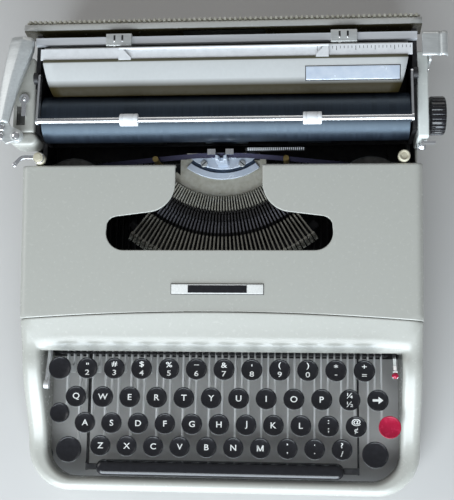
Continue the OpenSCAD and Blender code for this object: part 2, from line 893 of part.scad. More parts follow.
space_top = 28;
space_h = 6;
space_strip_h = 4;
module space_bar() color(black) {
    arm = space_arm_x + lever_t / 2;
    for (side = [-1, 1])
        lever(side * space_arm_x, y_space);
    box([-arm, y_space - 2, space_top - space_h - space_strip_h],
        [arm, y_space + 2, space_top - space_h + 0.2]);
    difference() {
        box([-space_w / 2 - 1.2, y_space - space_d / 2, space_top - space_h],
            [space_w / 2 - 1.2, y_space + space_d / 2, space_top]);
        translate([0, y_space - space_d / 2, space_top])
            rotate([45, 0, 0])
                cube([2 * space_w, 2.4, 2.4], center = true);
    }
}

// Small levers beside the keys, on pins of the side plates
module side_lever(x, tip) {
    at = [selector_y, selector_z];
    along = tip - at;
    lift = 2.2 * [-along.y, along.x] / norm(along);
    difference() {
        union() {
            rod(x, x + selector_t, at.x, at.y, selector_pin_d / 2 + 2);
            across(x, x + selector_t)
                polygon([at - lift, at + lift, tip + lift, tip - lift]);
            rod(x - 0.6, x + selector_t + 0.6, tip.x, tip.y, 3);
        }
        rod(x - CUT, x + selector_t + CUT, at.x, at.y, selector_pin_d / 2 + run_fit);
    }
}
module ribbon_selector() color(chrome)
    side_lever(selector_x - selector_t, [ROW_Y[0] - 2, row_z(1) - 4]);
module tab_set_lever() color(black)
    side_lever(-tab_set_x, [ROW_Y[0] - 11, row_z(2)]);

// The carriage's floor, end plates, rear wall and the bushes that run on the rails
rear_wall_y = y_scale + scale_d - 1;
rear_wall_t = 2;
end_top = platen_z + 10;
module end_plate(x) {
    box([x, y_plate, floor_z], [x + end_t, y_tail, end_top]);
    box([x, y_ear, floor_z], [x + end_t, y_tail, ear_z]);
    rod(x, x + end_t, y_bail_pin, z_bail_pin, bail_pin_r + 2.5);
}
module carriage_frame() color(dark_steel) {
    difference() {
        union() {
            box([carriage_x0, y_plate, floor_z], [carriage_x1, y_tail, floor_z + floor_t]);
            end_plate(carriage_x0);
            end_plate(carriage_x1 - end_t);
            box([carriage_x0 + 1, rear_wall_y, floor_z],
                [carriage_x1 - 1, rear_wall_y + rear_wall_t, ear_z]);
            for (y = RAIL_Y)
                box([carriage_x - shoe_w / 2, y - 6, rail_z - 5],
                    [carriage_x + shoe_w / 2, y + 6, floor_z + 0.5]);
        }
        for (y = RAIL_Y)
            rod(carriage_x - shoe_w, carriage_x + shoe_w, y, rail_z, rail_d / 2 + run_fit);
        rod(carriage_x0 - CUT, carriage_x1 + CUT, y_platen, platen_z, platen_shaft_d / 2 + run_fit);
        rod(carriage_x0 - CUT, carriage_x1 + CUT, y_feed, z_feed, feed_shaft_r + run_fit);
    }
    pin_l = bail_arm_t + slide_gap;
    rod(carriage_x0 + end_t - 1, carriage_x0 + end_t + pin_l, y_bail_pin, z_bail_pin, bail_pin_r);
    rod(carriage_x1 - end_t - pin_l, carriage_x1 - end_t + 1, y_bail_pin, z_bail_pin, bail_pin_r);
}

// A toothed bar under the floor that drives the escapement wheel
module carriage_rack() color(steel) {
    pitch = 2 * PI * escape_r / escape_teeth;
    teeth = floor(210 / pitch);
    start = carriage_x - teeth * pitch / 2;
    translate([0, y_rack + rack_t, 0])
        rotate([90, 0, 0])
            linear_extrude(rack_t)
                polygon(concat(
                    [[start, floor_z]],
                    [for (i = [0 : teeth - 1], p = [[0, 1.6], [0.3, 0], [0.6, 0], [0.9, 1.6]])
                        [start + (i + p.x) * pitch, rack_z + p.y]],
                    [[start + teeth * pitch, rack_z + 1.6], [start + teeth * pitch, floor_z]]
                ));
}
module escapement_wheel() color("#b59a5a")
    translate([0, y_rack + rack_t, z_escape])
        rotate([90, 0, 0])
            difference() {
                cylinder(r = escape_r, h = rack_t);
                for (i = [0 : escape_teeth - 1])
                    rotate([0, 0, i * 360 / escape_teeth])
                        translate([escape_r - 1.4, -0.7, -CUT])
                            cube([4, 1.4, rack_t + 2 * CUT]);
                translate([0, 0, -CUT])
                    cylinder(r = escape_pin_r + run_fit, h = rack_t + 2 * CUT);
            }

// The painted cover over the left end, with a nose in front that carries the return lever
y_left_end = y_bay + 74;
nose = [[left_x - 1.5, y_bay + 12.5, platen_z - 4], [carriage_x0 + 2, y_plate - 0.2, cover_top - 0.5]];
module left_end_cover() color(enamel) {
    difference() {
        box([left_x, y_plate - 0.2, platen_z - 14], [carriage_x0, y_left_end, cover_top]);
        box([left_x + wall, y_plate - 0.2 + wall, 0],
            [carriage_x0 + CUT, y_left_end - wall, cover_top - wall]);
        box([selector_at.x - 2, selector_at.y - 12, cover_top - wall - CUT],
            [selector_at.x + 2, selector_at.y - 4.5, cover_top + CUT]);
    }
    difference() {
        box(nose[0], nose[1]);
        box(nose[0] + [wall, wall, -CUT], nose[1] - [wall, wall, wall]);
    }
    translate([lever_pin.x, lever_pin.y, cover_top - 1])
        cylinder(r = lever_pin_r, h = lever_bottom + 3.5 - cover_top);
    translate([selector_at.x, selector_at.y, cover_top - 1])
        cylinder(r = 1.5, h = 2.8);
}

selector_h = 1.5;
module line_space_selector() color(chrome)
    translate([selector_at.x, selector_at.y, cover_top + 0.2])
        difference() {
            union() {
                cylinder(r = 3.5, h = selector_h);
                box([-1.5, -12, 0], [1.5, 0, selector_h]);
            }
            translate([0, 0, -CUT])
                cylinder(r = 1.5 + run_fit, h = selector_h + 2 * CUT);
        }

// The return lever, folded back along the left end, with a raised finger pad at its tip
lever_left = -right_x - 1.2 - knob_w;
lever_plate_t = 2.5;
y_lever_tip = y_bay + 85;
module return_lever() color(chrome)
    translate([0, 0, lever_bottom])
        difference() {
            union() {
                linear_extrude(lever_plate_t)
                    polygon([
                        [lever_pin.x - 5, lever_pin.y - 6], [lever_left, lever_pin.y + 5],
                        [lever_left + 2, lever_pin.y + 14], [lever_pin.x - 3, y_lever_tip],
                        [lever_pin.x + 11, y_lever_tip], [lever_pin.x + 11, y_lever_tip - 5],
                        [lever_pin.x - 4, lever_pin.y + 16], [lever_pin.x + 5, lever_pin.y + 5],
                        [lever_pin.x + 6, lever_pin.y - 3]
                    ]);
                box([lever_pin.x - 3, y_lever_tip - 1.5, 0], [lever_pin.x + 11, y_lever_tip, 10]);
            }
            translate([lever_pin.x, lever_pin.y, -CUT])
                cylinder(r = lever_pin_r + run_fit, h = 20);
        }

// The right end: a thin pressed plate with the bearings of the release levers
module right_end_plate() color(enamel) {
    lug_w = 1.2;
    difference() {
        box([carriage_x1, y_right, platen_z - 16], [right_x, y_right_end, right_top]);
        box([carriage_x1 - CUT, y_right + wall, 0], [right_x - wall, y_right_end - wall, right_top - wall]);
        rod(carriage_x1, right_x + CUT, y_platen, platen_z, platen_shaft_d / 2 + 0.6);
    }
    rod(right_x - wall / 2, right_x + 3, release_at.x, release_at.y, release_pin_r);
    for (x = [carriage_x1 + 0.6, right_x - 0.6 - lug_w])
        box([x, trip_at.x - 1.8, trip_at.y - 1.8], [x + lug_w, y_right + wall / 2, trip_at.y + 1.8]);
    rod(carriage_x1 + 1, right_x - 1, trip_at.x, trip_at.y, trip_pin_r);
}

release_t = 1.5;
release_pad_z = right_top + 4;
module paper_release_lever() color(chrome) {
    x0 = right_x + slide_gap;
    difference() {
        union() {
            rod(x0, x0 + release_t, release_at.x, release_at.y, release_pin_r + 3);
            box([x0, release_at.x - 3, release_at.y],
                [x0 + release_t, release_at.x + 3, release_pad_z + 0.5]);
        }
        rod(x0 - CUT, x0 + release_t + CUT, release_at.x, release_at.y, release_pin_r + run_fit);
    }
    box([right_x - 4, release_at.x - 3, release_pad_z],
        [right_x + 1.2 + knob_w, release_at.x + 17, release_pad_z + 1.4]);
}

module carriage_release_lever() color(chrome) {
    x0 = carriage_x1 + 2.1;
    x1 = right_x - 2.1;
    difference() {
        union() {
            rod(x0, x1, trip_at.x, trip_at.y, trip_pin_r + 1.1);
            box([x0, trip_at.x - 0.7, trip_at.y], [x1, trip_at.x + 0.7, trip_at.y + 13]);
        }
        rod(x0 - CUT, x1 + CUT, trip_at.x, trip_at.y, trip_pin_r + run_fit);
    }
    box([x0, trip_at.x - 0.7, trip_at.y + 9], [right_x + 4.5, trip_at.x + 0.7, trip_at.y + 13]);
}

// Paper table: one bent sheet from the platen up to the seat of the scale
table_x = platen_l / 2 - 1.5;
table_t = 1.2;
table_slant = 6;
table_low = [y_platen, platen_z] + (platen_d / 2 + 1.7) * [cos(41), sin(41)];
table_high = [y_scale - 3, table_z + 1.5];
table_bend = [y_table + 10, table_z - 0.9];
function bow(a, b, c, t) = (1 - t) * (1 - t) * a + 2 * t * (1 - t) * b + t * t * c;
TABLE_BOW = [for (i = [0 : 8]) bow(table_low, table_bend, table_high, i / 8)];
module paper_table() color(enamel)
    difference() {
        across(carriage_x - table_x, carriage_x + table_x)
            polygon(concat(
                TABLE_BOW,
                [[y_scale - 0.5, table_z + 1.5], [y_scale - 0.5, table_z],
                 [y_scale + scale_d + 0.7, table_z], [y_scale + scale_d + 0.7, ear_z],
                 [y_scale + scale_d - 0.5, ear_z], [y_scale + scale_d - 0.5, table_z - table_t],
                 [y_scale - 1.7, table_z - table_t], [y_scale - 1.7, table_z + 0.3]],
                [for (i = [8 : -1 : 0]) TABLE_BOW[i] + [0.5, -table_t]]
            ));
        for (side = [0, 1])
            translate([carriage_x, 0, 0])
                mirror([side, 0, 0])
                    linear_extrude(100)
                        polygon([
                            [table_x - table_slant, table_low.x - 1], [table_x + CUT, table_low.x - 1],
                            [table_x + CUT, table_high.x], [table_x, table_high.x]
                        ]);
    }
scale_t = 1.3;
module paper_scale() color("white")
    box([carriage_x - table_x - 2, y_scale, table_z],
        [carriage_x + table_x + 3, y_scale + scale_d, table_z + scale_t]);

// The folded paper support lies over the scale and turns up about its rear edge
support_half = 70.5;
support_w = 8.4;
support_t = 0.8;
support_pin_r = 0.7;
y_support = y_scale + scale_d - support_pin_r;
y_support_tip = y_scale - 1.2;
z_support = table_z + scale_t + slide_gap + support_pin_r;
module paper_support() color("white") {
    rod(carriage_x - support_half, carriage_x + support_half, y_support, z_support, support_pin_r);
    for (side = [0, 1])
        translate([carriage_x, 0, z_support - support_t / 2])
            mirror([side, 0, 0])
                linear_extrude(support_t)
                    polygon([
                        [support_half - 2.4, y_support], [support_half, y_support],
                        [support_half, y_support_tip], [support_half - support_w, y_support_tip],
                        [support_half - support_w, y_support_tip + 1.4]
                    ]);
}

module margin_rail() color(steel)
    box([carriage_x0, y_rail_bar, ear_z], [carriage_x1, y_rail_bar + bar_rail_d, ear_z + bar_rail_h]);

stop_w = 17.5;
stop_t = 1.6;
module margin_stop(x) {
    y0 = y_rail_bar - slide_gap - stop_t;
    y1 = y_rail_bar + bar_rail_d + slide_gap + stop_t;
    z1 = ear_z + bar_rail_h + slide_gap + 1.4;
    difference() {
        box([x, y0, ear_z + 0.6], [x + stop_w, y1, z1]);
        box([x - CUT, y0 + stop_t, 0], [x + stop_w + CUT, y1 - stop_t, ear_z + bar_rail_h + slide_gap]);
    }
}
module margin_stop_left() color(steel) margin_stop(carriage_x - platen_l / 2 + 44);
module margin_stop_right() color(steel) margin_stop(carriage_x + platen_l / 2 - 52);

// Platen, its shaft with the line-space ratchet, and the knob
seat_fit = 0.02;
shaft_seat_r = platen_shaft_d / 2 + seat_fit;
module platen_roller() color(black)
    difference() {
        rod(carriage_x - platen_l / 2, carriage_x + platen_l / 2, y_platen, platen_z, platen_d / 2);
        rod(carriage_x - platen_l, carriage_x + platen_l, y_platen, platen_z, shaft_seat_r);
    }
ratchet_r = 10;
ratchet_x = carriage_x0 - 5;
ratchet_t = 3;
module platen_shaft() color(steel) {
    rod(ratchet_x - 1, knob_x + knob_w - 2.5, y_platen, platen_z, platen_shaft_d / 2);
    difference() {
        rod(ratchet_x, ratchet_x + ratchet_t, y_platen, platen_z, ratchet_r);
        rod(ratchet_x - CUT, ratchet_x + ratchet_t + CUT, y_platen, platen_z, shaft_seat_r);
        for (i = [0 : 23])
            translate([ratchet_x - CUT, y_platen, platen_z])
                rotate([i * 15, 0, 0])
                    translate([0, ratchet_r - 1, 0])
                        rotate([30, 0, 0])
                            cube([ratchet_t + 2 * CUT, 3, 1.2]);
    }
}
module platen_knob() color(black)
    difference() {
        rod(knob_x, knob_x + knob_w, y_platen, platen_z, knob_d / 2);
        rod(knob_x - CUT, knob_x + knob_w - 2.5, y_platen, platen_z, shaft_seat_r);
        for (p = arc([y_platen, platen_z], knob_d / 2 + 0.5, 0, 345, 23))
            rod(knob_x - CUT, knob_x + knob_w + CUT, p.x, p.y, 1.1);
    }
module feed_roller() color(black)
    union() {
        rod(carriage_x0, carriage_x1, y_feed, z_feed, feed_shaft_r);
        for (x = [-73, -15, 43])
            rod(carriage_x + x, carriage_x + x + 30, y_feed, z_feed, feed_d / 2);
    }

module bail_arm(x) {
    across(x, x + bail_arm_t)
        polygon([
            [y_bail, z_bail - 2.2], [y_bail_pin, z_bail_pin - 2.2],
            [y_bail_pin, z_bail_pin + 2.6], [y_bail, z_bail + 2.2]
        ]);
    rod(x, x + bail_arm_t, y_bail_pin, z_bail_pin, bail_pin_r + 1.5);
    rod(x, x + bail_arm_t, y_bail, z_bail, bail_d / 2 + 0.8);
}
module paper_bail() color(chrome) {
    xl = carriage_x0 + end_t + slide_gap;
    xr = carriage_x1 - end_t - slide_gap - bail_arm_t;
    difference() {
        union() {
            bail_arm(xl);
            bail_arm(xr);
        }
        rod(xl - CUT, xr + bail_arm_t + CUT, y_bail_pin, z_bail_pin, bail_pin_r + run_fit);
    }
    rod(xl + 0.2, xr + 0.2, y_bail, z_bail, bail_d / 2);
}
bail_roller_w = 12.4;
module bail_rollers() color(chrome)
    for (x = [carriage_x - 68.5, carriage_x + 53.6])
        difference() {
            rod(x, x + bail_roller_w, y_bail, z_bail, bail_roller_d / 2);
            rod(x - CUT, x + bail_roller_w + CUT, y_bail, z_bail, bail_d / 2 + run_fit);
        }

base_plate();
base_screws();
rubber_feet();
main_frame();
body_shell();
rear_panel();
tab_rack();
carriage_rails();
key_fulcrum_shaft();
key_guide_comb();
bell();
type_segment();
typebars();
typebar_rest();
segment_plate();
line_guide();
ribbon_guides();
ribbon_cups();
ribbon_tape();
cover_posts();
ribbon_cover();
carriage_frame();
carriage_rack();
left_end_cover();
right_end_plate();
paper_table();
paper_scale();
margin_rail();
platen_roller();
platen_shaft();
platen_knob();
feed_roller();
return_lever();
line_space_selector();
paper_bail();
bail_rollers();
margin_stop_left();
margin_stop_right();
paper_support();
paper_release_lever();
carriage_release_lever();
ribbon_spool_left();
ribbon_spool_right();
ribbon_vibrator();
number_row_keys();
upper_row_keys();
home_row_keys();
lower_row_keys();
centre_key();
centre_typebar();
margin_release_key();
shift_lock_key();
shift_keys();
backspace_key();
tab_key();
space_bar();
ribbon_selector();
tab_set_lever();
carriage_lock();
escapement_wheel();
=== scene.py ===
# %% [markdown]
# # A flat portable typewriter, dressed for its photograph
# The CAD solids give every size and every joint. This lesson builds the looks around them: smooth
# enamelled pressings, dished keys with legends, bright levers and a carriage full of small metal parts.
# Everything is in the frame of the CAD model, so each new piece is drawn in its real place. Sizes are
# written in millimetres, as on a drawing, and MM turns them into Blender's metres.

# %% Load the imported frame
import math

import bmesh
import bpy
import numpy as np
from mathutils import Matrix, Vector


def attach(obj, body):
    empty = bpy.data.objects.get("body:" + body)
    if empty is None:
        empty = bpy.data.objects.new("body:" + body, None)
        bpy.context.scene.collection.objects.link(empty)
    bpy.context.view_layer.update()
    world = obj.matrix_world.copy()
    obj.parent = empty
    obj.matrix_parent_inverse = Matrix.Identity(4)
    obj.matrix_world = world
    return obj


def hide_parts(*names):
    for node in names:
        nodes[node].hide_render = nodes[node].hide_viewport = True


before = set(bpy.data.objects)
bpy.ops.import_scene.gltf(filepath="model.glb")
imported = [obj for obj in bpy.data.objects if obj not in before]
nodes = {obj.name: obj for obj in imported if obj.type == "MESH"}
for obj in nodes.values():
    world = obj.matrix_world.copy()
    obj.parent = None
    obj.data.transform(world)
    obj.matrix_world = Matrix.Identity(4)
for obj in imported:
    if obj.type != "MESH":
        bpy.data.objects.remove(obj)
scene = bpy.context.scene
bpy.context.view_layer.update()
MM = 0.001

# %% [markdown]
# ## Camera
# The photograph was taken from above, a little in front and to the right. A camera can be aimed by eye, but
# then no edge falls quite where it does in the picture. So a pinhole camera was fitted to the key tops,
# whose spacing is known, and its place, its three angles and its focal length are written here.

# %% Camera
CAMERA_AT = Vector((59.7, -90.5, 680.0)) * MM
CAMERA_TILT = 8.57
CAMERA_YAW = 4.87
CAMERA_ROLL = 0.75
FOCAL_PIXELS = 936.0
FRAME_PIXELS = 500.0
SENSOR = 36.0


def axis_turn(degrees, axis):
    return Matrix.Rotation(math.radians(degrees), 3, axis)


view = bpy.data.cameras.new("view")
view.sensor_width = SENSOR
view.lens = FOCAL_PIXELS / FRAME_PIXELS * SENSOR
eye = bpy.data.objects.new("view", view)
look = axis_turn(CAMERA_ROLL, "Z") @ axis_turn(CAMERA_YAW, "Y") @ axis_turn(CAMERA_TILT, "X")
eye.matrix_world = Matrix.Translation(CAMERA_AT) @ look.to_4x4()
scene.collection.objects.link(eye)
scene.camera = eye
scene.view_settings.view_transform = "Standard"
print("lens", round(view.lens, 2), "mm")

# %% [markdown]
# ## Light
# The machine stands near a window, so its gloss mirrors one broad soft light in front. A sun or a spot would
# draw hard shadows between the keys. Area lamps are soft, as a window is: a large one in front, a low one
# that lights the rims and the lip, and weak ones at the left and behind. A dim grey sky fills the rest.

# %% Lamps and world
def panel(name, at, aim, size, watts, tint=(1.0, 1.0, 1.0)):
    lamp = bpy.data.lights.new(name, "AREA")
    lamp.shape = "RECTANGLE"
    lamp.size, lamp.size_y = size
    lamp.energy = watts
    lamp.color = tint
    holder = bpy.data.objects.new(name, lamp)
    holder.location = at
    holder.rotation_euler = (Vector(aim) - Vector(at)).to_track_quat("-Z", "Y").to_euler()
    scene.collection.objects.link(holder)


# The lamps stand about a metre away, so their places and sizes are in metres.
WINDOW_TINT = (0.86, 0.94, 1.0)
LOW_TINT = (0.78, 0.89, 1.0)
REAR_TINT = (1.0, 0.98, 0.95)
SKY_COLOUR = (0.62, 0.64, 0.67, 1)
SKY_STRENGTH = 0.32
panel("front_window", at=(-0.15, -1.05, 0.72), aim=(0, -0.02, 0.05), size=(1.3, 0.8), watts=22.0,
      tint=WINDOW_TINT)
panel("low_window", at=(-0.1, -1.35, 0.25), aim=(0, 0.05, 0.07), size=(1.6, 0.36), watts=17.0, tint=LOW_TINT)
panel("left_fill", at=(-1.1, 0.25, 0.7), aim=(0, 0, 0.05), size=(0.7, 0.8), watts=3.0)
panel("rear_fill", at=(0.2, 1.1, 0.5), aim=(0, 0.05, 0.05), size=(1.2, 0.5), watts=2.0, tint=REAR_TINT)
sky = bpy.data.worlds.new("studio")
sky.use_nodes = True
sky.node_tree.nodes["Background"].inputs["Color"].default_value = SKY_COLOUR
sky.node_tree.nodes["Background"].inputs["Strength"].default_value = SKY_STRENGTH
scene.world = sky

# %% [markdown]
# ## Shader groups
# Most surfaces share one effect: a grain that varies the colour and the gloss a little and raises a fine
# relief. The nodes could be repeated in every material, but then each change has to be made many times. So
# one shader group with named inputs holds the effect, and every finish sets its own values on it. A second
# group makes sparse specks, for dust, chips and worn spots. A third masks a band or a ring in a fixed place,
# for painted shade, where a piece is painted darker. The shader itself stays in each material.

# %% Tools for shader groups
def shader_group(name, inputs, outputs):
    group = bpy.data.node_groups.new(name, "ShaderNodeTree")
    for label, kind, value in inputs:
        socket = group.interface.new_socket(label, in_out="INPUT", socket_type=kind)
        socket.default_value = value
    for label, kind in outputs:
        group.interface.new_socket(label, in_out="OUTPUT", socket_type=kind)
    return group, group.nodes.new("NodeGroupInput"), group.nodes.new("NodeGroupOutput")


def working_node(tree, kind, operation):
    node = tree.nodes.new(kind)
    node.operation = operation
    return node


def mapped_noise(group, entry, detail):
    place = group.nodes.new("ShaderNodeTexCoord")
    stretch = working_node(group, "ShaderNodeVectorMath", "MULTIPLY")
    noise = group.nodes.new("ShaderNodeTexNoise")
    noise.inputs["Detail"].default_value = detail
    group.links.new(place.outputs["Object"], stretch.inputs[0])
    group.links.new(entry.outputs["Stretch"], stretch.inputs[1])
    group.links.new(stretch.outputs[0], noise.inputs["Vector"])
    group.links.new(entry.outputs["Scale"], noise.inputs["Scale"])
    return noise.outputs["Fac"]


# A Mix node holds sockets for several kinds of value, so its colour sockets are reached by number.
MIX_FACTOR = 0
MIX_BELOW = 6
MIX_ABOVE = 7
MIX_COLOUR = 2


def colour_mix(tree, mask):
    mix = tree.nodes.new("ShaderNodeMix")
    mix.data_type = "RGBA"
    tree.links.new(mask, mix.inputs[MIX_FACTOR])
    return mix


print("tools for shader groups ready")

# %% Grain
GRAIN_DETAIL = 4.0
GRAIN_LOW = 0.3
GRAIN_HIGH = 0.7


def grain_group():
    inputs = [("Scale", "NodeSocketFloat", 300.0), ("Stretch", "NodeSocketVector", (1, 1, 1)),
              ("Dark", "NodeSocketColor", (0, 0, 0, 1)), ("Light", "NodeSocketColor", (1, 1, 1, 1)),
              ("Gloss", "NodeSocketFloat", 0.2), ("Dull", "NodeSocketFloat", 0.4)]
    outputs = [("Color", "NodeSocketColor"), ("Roughness", "NodeSocketFloat"), ("Height", "NodeSocketFloat")]
    group, entry, leave = shader_group("surface_grain", inputs, outputs)
    noise = mapped_noise(group, entry, GRAIN_DETAIL)
    spread = group.nodes.new("ShaderNodeMapRange")
    spread.inputs["From Min"].default_value = GRAIN_LOW
    spread.inputs["From Max"].default_value = GRAIN_HIGH
    group.links.new(noise, spread.inputs["Value"])
    tone = colour_mix(group, spread.outputs["Result"])
    group.links.new(entry.outputs["Dark"], tone.inputs[MIX_BELOW])
    group.links.new(entry.outputs["Light"], tone.inputs[MIX_ABOVE])
    gloss = group.nodes.new("ShaderNodeMapRange")
    group.links.new(spread.outputs["Result"], gloss.inputs["Value"])
    group.links.new(entry.outputs["Gloss"], gloss.inputs["To Min"])
    group.links.new(entry.outputs["Dull"], gloss.inputs["To Max"])
    group.links.new(tone.outputs[MIX_COLOUR], leave.inputs["Color"])
    group.links.new(gloss.outputs["Result"], leave.inputs["Roughness"])
    group.links.new(noise, leave.inputs["Height"])
    return group


grain = grain_group()
print("shader group", grain.name)

# %% Specks
SPECK_DETAIL = 6.0
SPECK_EDGE = 14.0


def speck_group():
    inputs = [("Scale", "NodeSocketFloat", 200.0), ("Stretch", "NodeSocketVector", (1, 1, 1)),
              ("Share", "NodeSocketFloat", 0.68)]
    group, entry, leave = shader_group("sparse_specks", inputs, [("Mask", "NodeSocketFloat")])
    noise = mapped_noise(group, entry, SPECK_DETAIL)
    above = working_node(group, "ShaderNodeMath", "SUBTRACT")
    hard = working_node(group, "ShaderNodeMath", "MULTIPLY")
    hard.use_clamp = True
    hard.inputs[1].default_value = SPECK_EDGE
    group.links.new(noise, above.inputs[0])
    group.links.new(entry.outputs["Share"], above.inputs[1])
    group.links.new(above.outputs[0], hard.inputs[0])
    group.links.new(hard.outputs[0], leave.inputs["Mask"])
    return group


specks = speck_group()
print("shader group", specks.name)

# %% Zones
def zone_group():
    inputs = [("Centre", "NodeSocketVector", (0, 0, 0)), ("Across", "NodeSocketVector", (1, 1, 0)),
              ("Near", "NodeSocketFloat", 0.0), ("Far", "NodeSocketFloat", 0.01)]
    group, entry, leave = shader_group("painted_shade_mask", inputs, [("Mask", "NodeSocketFloat")])
    place = group.nodes.new("ShaderNodeTexCoord")
    from_centre = working_node(group, "ShaderNodeVectorMath", "SUBTRACT")
    flatten = working_node(group, "ShaderNodeVectorMath", "MULTIPLY")
    reach = working_node(group, "ShaderNodeVectorMath", "LENGTH")
    ramp = group.nodes.new("ShaderNodeMapRange")
    group.links.new(place.outputs["Object"], from_centre.inputs[0])
    group.links.new(entry.outputs["Centre"], from_centre.inputs[1])
    group.links.new(from_centre.outputs[0], flatten.inputs[0])
    group.links.new(entry.outputs["Across"], flatten.inputs[1])
    group.links.new(flatten.outputs[0], reach.inputs[0])
    group.links.new(reach.outputs["Value"], ramp.inputs["Value"])
    group.links.new(entry.outputs["Near"], ramp.inputs["From Min"])
    group.links.new(entry.outputs["Far"], ramp.inputs["From Max"])
    group.links.new(ramp.outputs["Result"], leave.inputs["Mask"])
    return group


zone = zone_group()
print("shader group", zone.name)

# %% [markdown]
# ## From groups to finishes
# A finish is a material: a dark and a light tone that the grain mixes, a range of roughness, a share of
# metal, specks and a clear coat where the real surface has them, and zones of painted shade. Each could be
# wired by hand in the shader editor. A function does it the same way every time, so a finish is only its list
# of values.

# %% Colours and groups in a material
def colour_over(tree, mask, below, tone):
    mix = colour_mix(tree, mask)
    mix.inputs[MIX_ABOVE].default_value = (*tone, 1)
    tree.links.new(below, mix.inputs[MIX_BELOW])
    return mix.outputs[MIX_COLOUR]


def placed_group(tree, group, values):
    node = tree.nodes.new("ShaderNodeGroup")
    node.node_tree = group
    for label, value in values.items():
        node.inputs[label].default_value = value
    return node


print("material tools ready")

# %% A finish from the groups
RELIEF_DEPTH = 1.0 * MM
# A coat is its weight, its roughness and its index of refraction.
NO_COAT = (0.0, 0.12, 1.5)


def finish(name, dark, light, gloss, metal=0.0, scale=300.0, stretch=(1, 1, 1), relief=0.02,
           speck=None, coat=NO_COAT, zones=()):
    material = bpy.data.materials.new(name)
    material.use_nodes = True
    tree = material.node_tree
    shader = tree.nodes["Principled BSDF"]
    surface = placed_group(tree, grain, {"Scale": scale, "Stretch": stretch, "Dark": (*dark, 1),
                                         "Light": (*light, 1), "Gloss": gloss[0], "Dull": gloss[1]})
    colour = surface.outputs["Color"]
    if speck:
        tone, speck_scale, share = speck
        spots = placed_group(tree, specks, {"Scale": speck_scale, "Stretch": stretch, "Share": share})
        colour = colour_over(tree, spots.outputs["Mask"], colour, tone)
    for centre, across, near, far, tone in zones:
        part = placed_group(tree, zone, {"Centre": centre, "Across": across, "Near": near, "Far": far})
        colour = colour_over(tree, part.outputs["Mask"], colour, tone)
    bump = tree.nodes.new("ShaderNodeBump")
    bump.inputs["Strength"].default_value = relief
    bump.inputs["Distance"].default_value = RELIEF_DEPTH
    tree.links.new(colour, shader.inputs["Base Color"])
    tree.links.new(surface.outputs["Roughness"], shader.inputs["Roughness"])
    tree.links.new(surface.outputs["Height"], bump.inputs["Height"])
    tree.links.new(bump.outputs["Normal"], shader.inputs["Normal"])
    shader.inputs["Metallic"].default_value = metal
    for label, value in zip(("Coat Weight", "Coat Roughness", "Coat IOR"), coat):
        shader.inputs[label].default_value = value
    return material


print("finish ready, relief", RELIEF_DEPTH)

# %% Zones and single values of a finish
def tune(material, label, value):
    material.node_tree.nodes["Principled BSDF"].inputs[label].default_value = value


# A band is measured along Y from a middle line, and a ring from a centre seen from above. From near to far
# the zone's tone comes in, and far may lie nearer to the middle than near.
def band(middle_y, near, far, tone):
    return (0, middle_y * MM, 0), (0, 1, 0), near * MM, far * MM, tone


def ring_zone(centre_y, near, far, tone):
    return (0, centre_y * MM, 0), (1, 1, 0), near * MM, far * MM, tone


print("zone tools ready")

# %% [markdown]
# ## Enamels
# The pressings are stove-enamelled in a warm grey: smooth, with a soft gloss under a thin clear coat. One
# enamel would do for all of them, but the paper table and the rear panel stand deep behind other parts and
# darken there. Their enamels are painted paler than the grey where light falls on them, and get a zone of
# painted shade where they darken, which is steadier than trusting the lamps. The narrow strip at the right
# end of the carriage is painted paler still, as a painted highlight, and has its own enamel.

# %% Enamels
ENAMEL_GRAIN = {"scale": 420.0, "relief": 0.002}
ENAMEL_GLOSS = (0.267, 0.275)
ENAMEL_COAT = (0.3, 0.22, 1.5)
ENAMEL_SPECK = ((0.38, 0.37, 0.33), 260.0, 0.80)
# Painted light and shade: the table and panel enamels are painted paler than the grey, the table is painted
# dark towards the platen and in a thin band at the fold under the scale, and the apron is painted dark below
# its roll.
TABLE_PAINTED_SHADE = [band(0.0, 116.0, 111.5, (0.032, 0.024, 0.006)), band(128.9, 1.6, 1.0, (0.10, 0.095, 0.06))]
APRON_PAINTED_SHADE = [band(0.0, 154.3, 153.8, (0.06, 0.052, 0.027))]
ENAMEL = finish("grey_enamel", (0.445, 0.445, 0.405), (0.46, 0.46, 0.42), ENAMEL_GLOSS, **ENAMEL_GRAIN,
                speck=ENAMEL_SPECK, coat=ENAMEL_COAT)
# Painted highlight: the right end strip is the grey enamel painted paler, as light falling on its top.
PAINTED_HIGHLIGHT_ENAMEL = finish("painted_highlight_enamel", (0.68, 0.71, 0.68), (0.70, 0.73, 0.70), ENAMEL_GLOSS, **ENAMEL_GRAIN,
                     coat=ENAMEL_COAT)
TABLE_ENAMEL_PAINTED_LIGHT = finish("table_enamel_painted_light", (0.57, 0.585, 0.58), (0.59, 0.605, 0.60), (0.50, 0.58), **ENAMEL_GRAIN,
                      speck=ENAMEL_SPECK, zones=TABLE_PAINTED_SHADE)
tune(TABLE_ENAMEL_PAINTED_LIGHT, "Specular IOR Level", 0.25)
PANEL_ENAMEL_PAINTED_LIGHT = finish("panel_enamel_painted_light", (0.55, 0.555, 0.53), (0.57, 0.575, 0.55), ENAMEL_GLOSS, **ENAMEL_GRAIN,
                      speck=ENAMEL_SPECK, coat=ENAMEL_COAT, zones=APRON_PAINTED_SHADE)
print("enamels", len(bpy.data.materials))
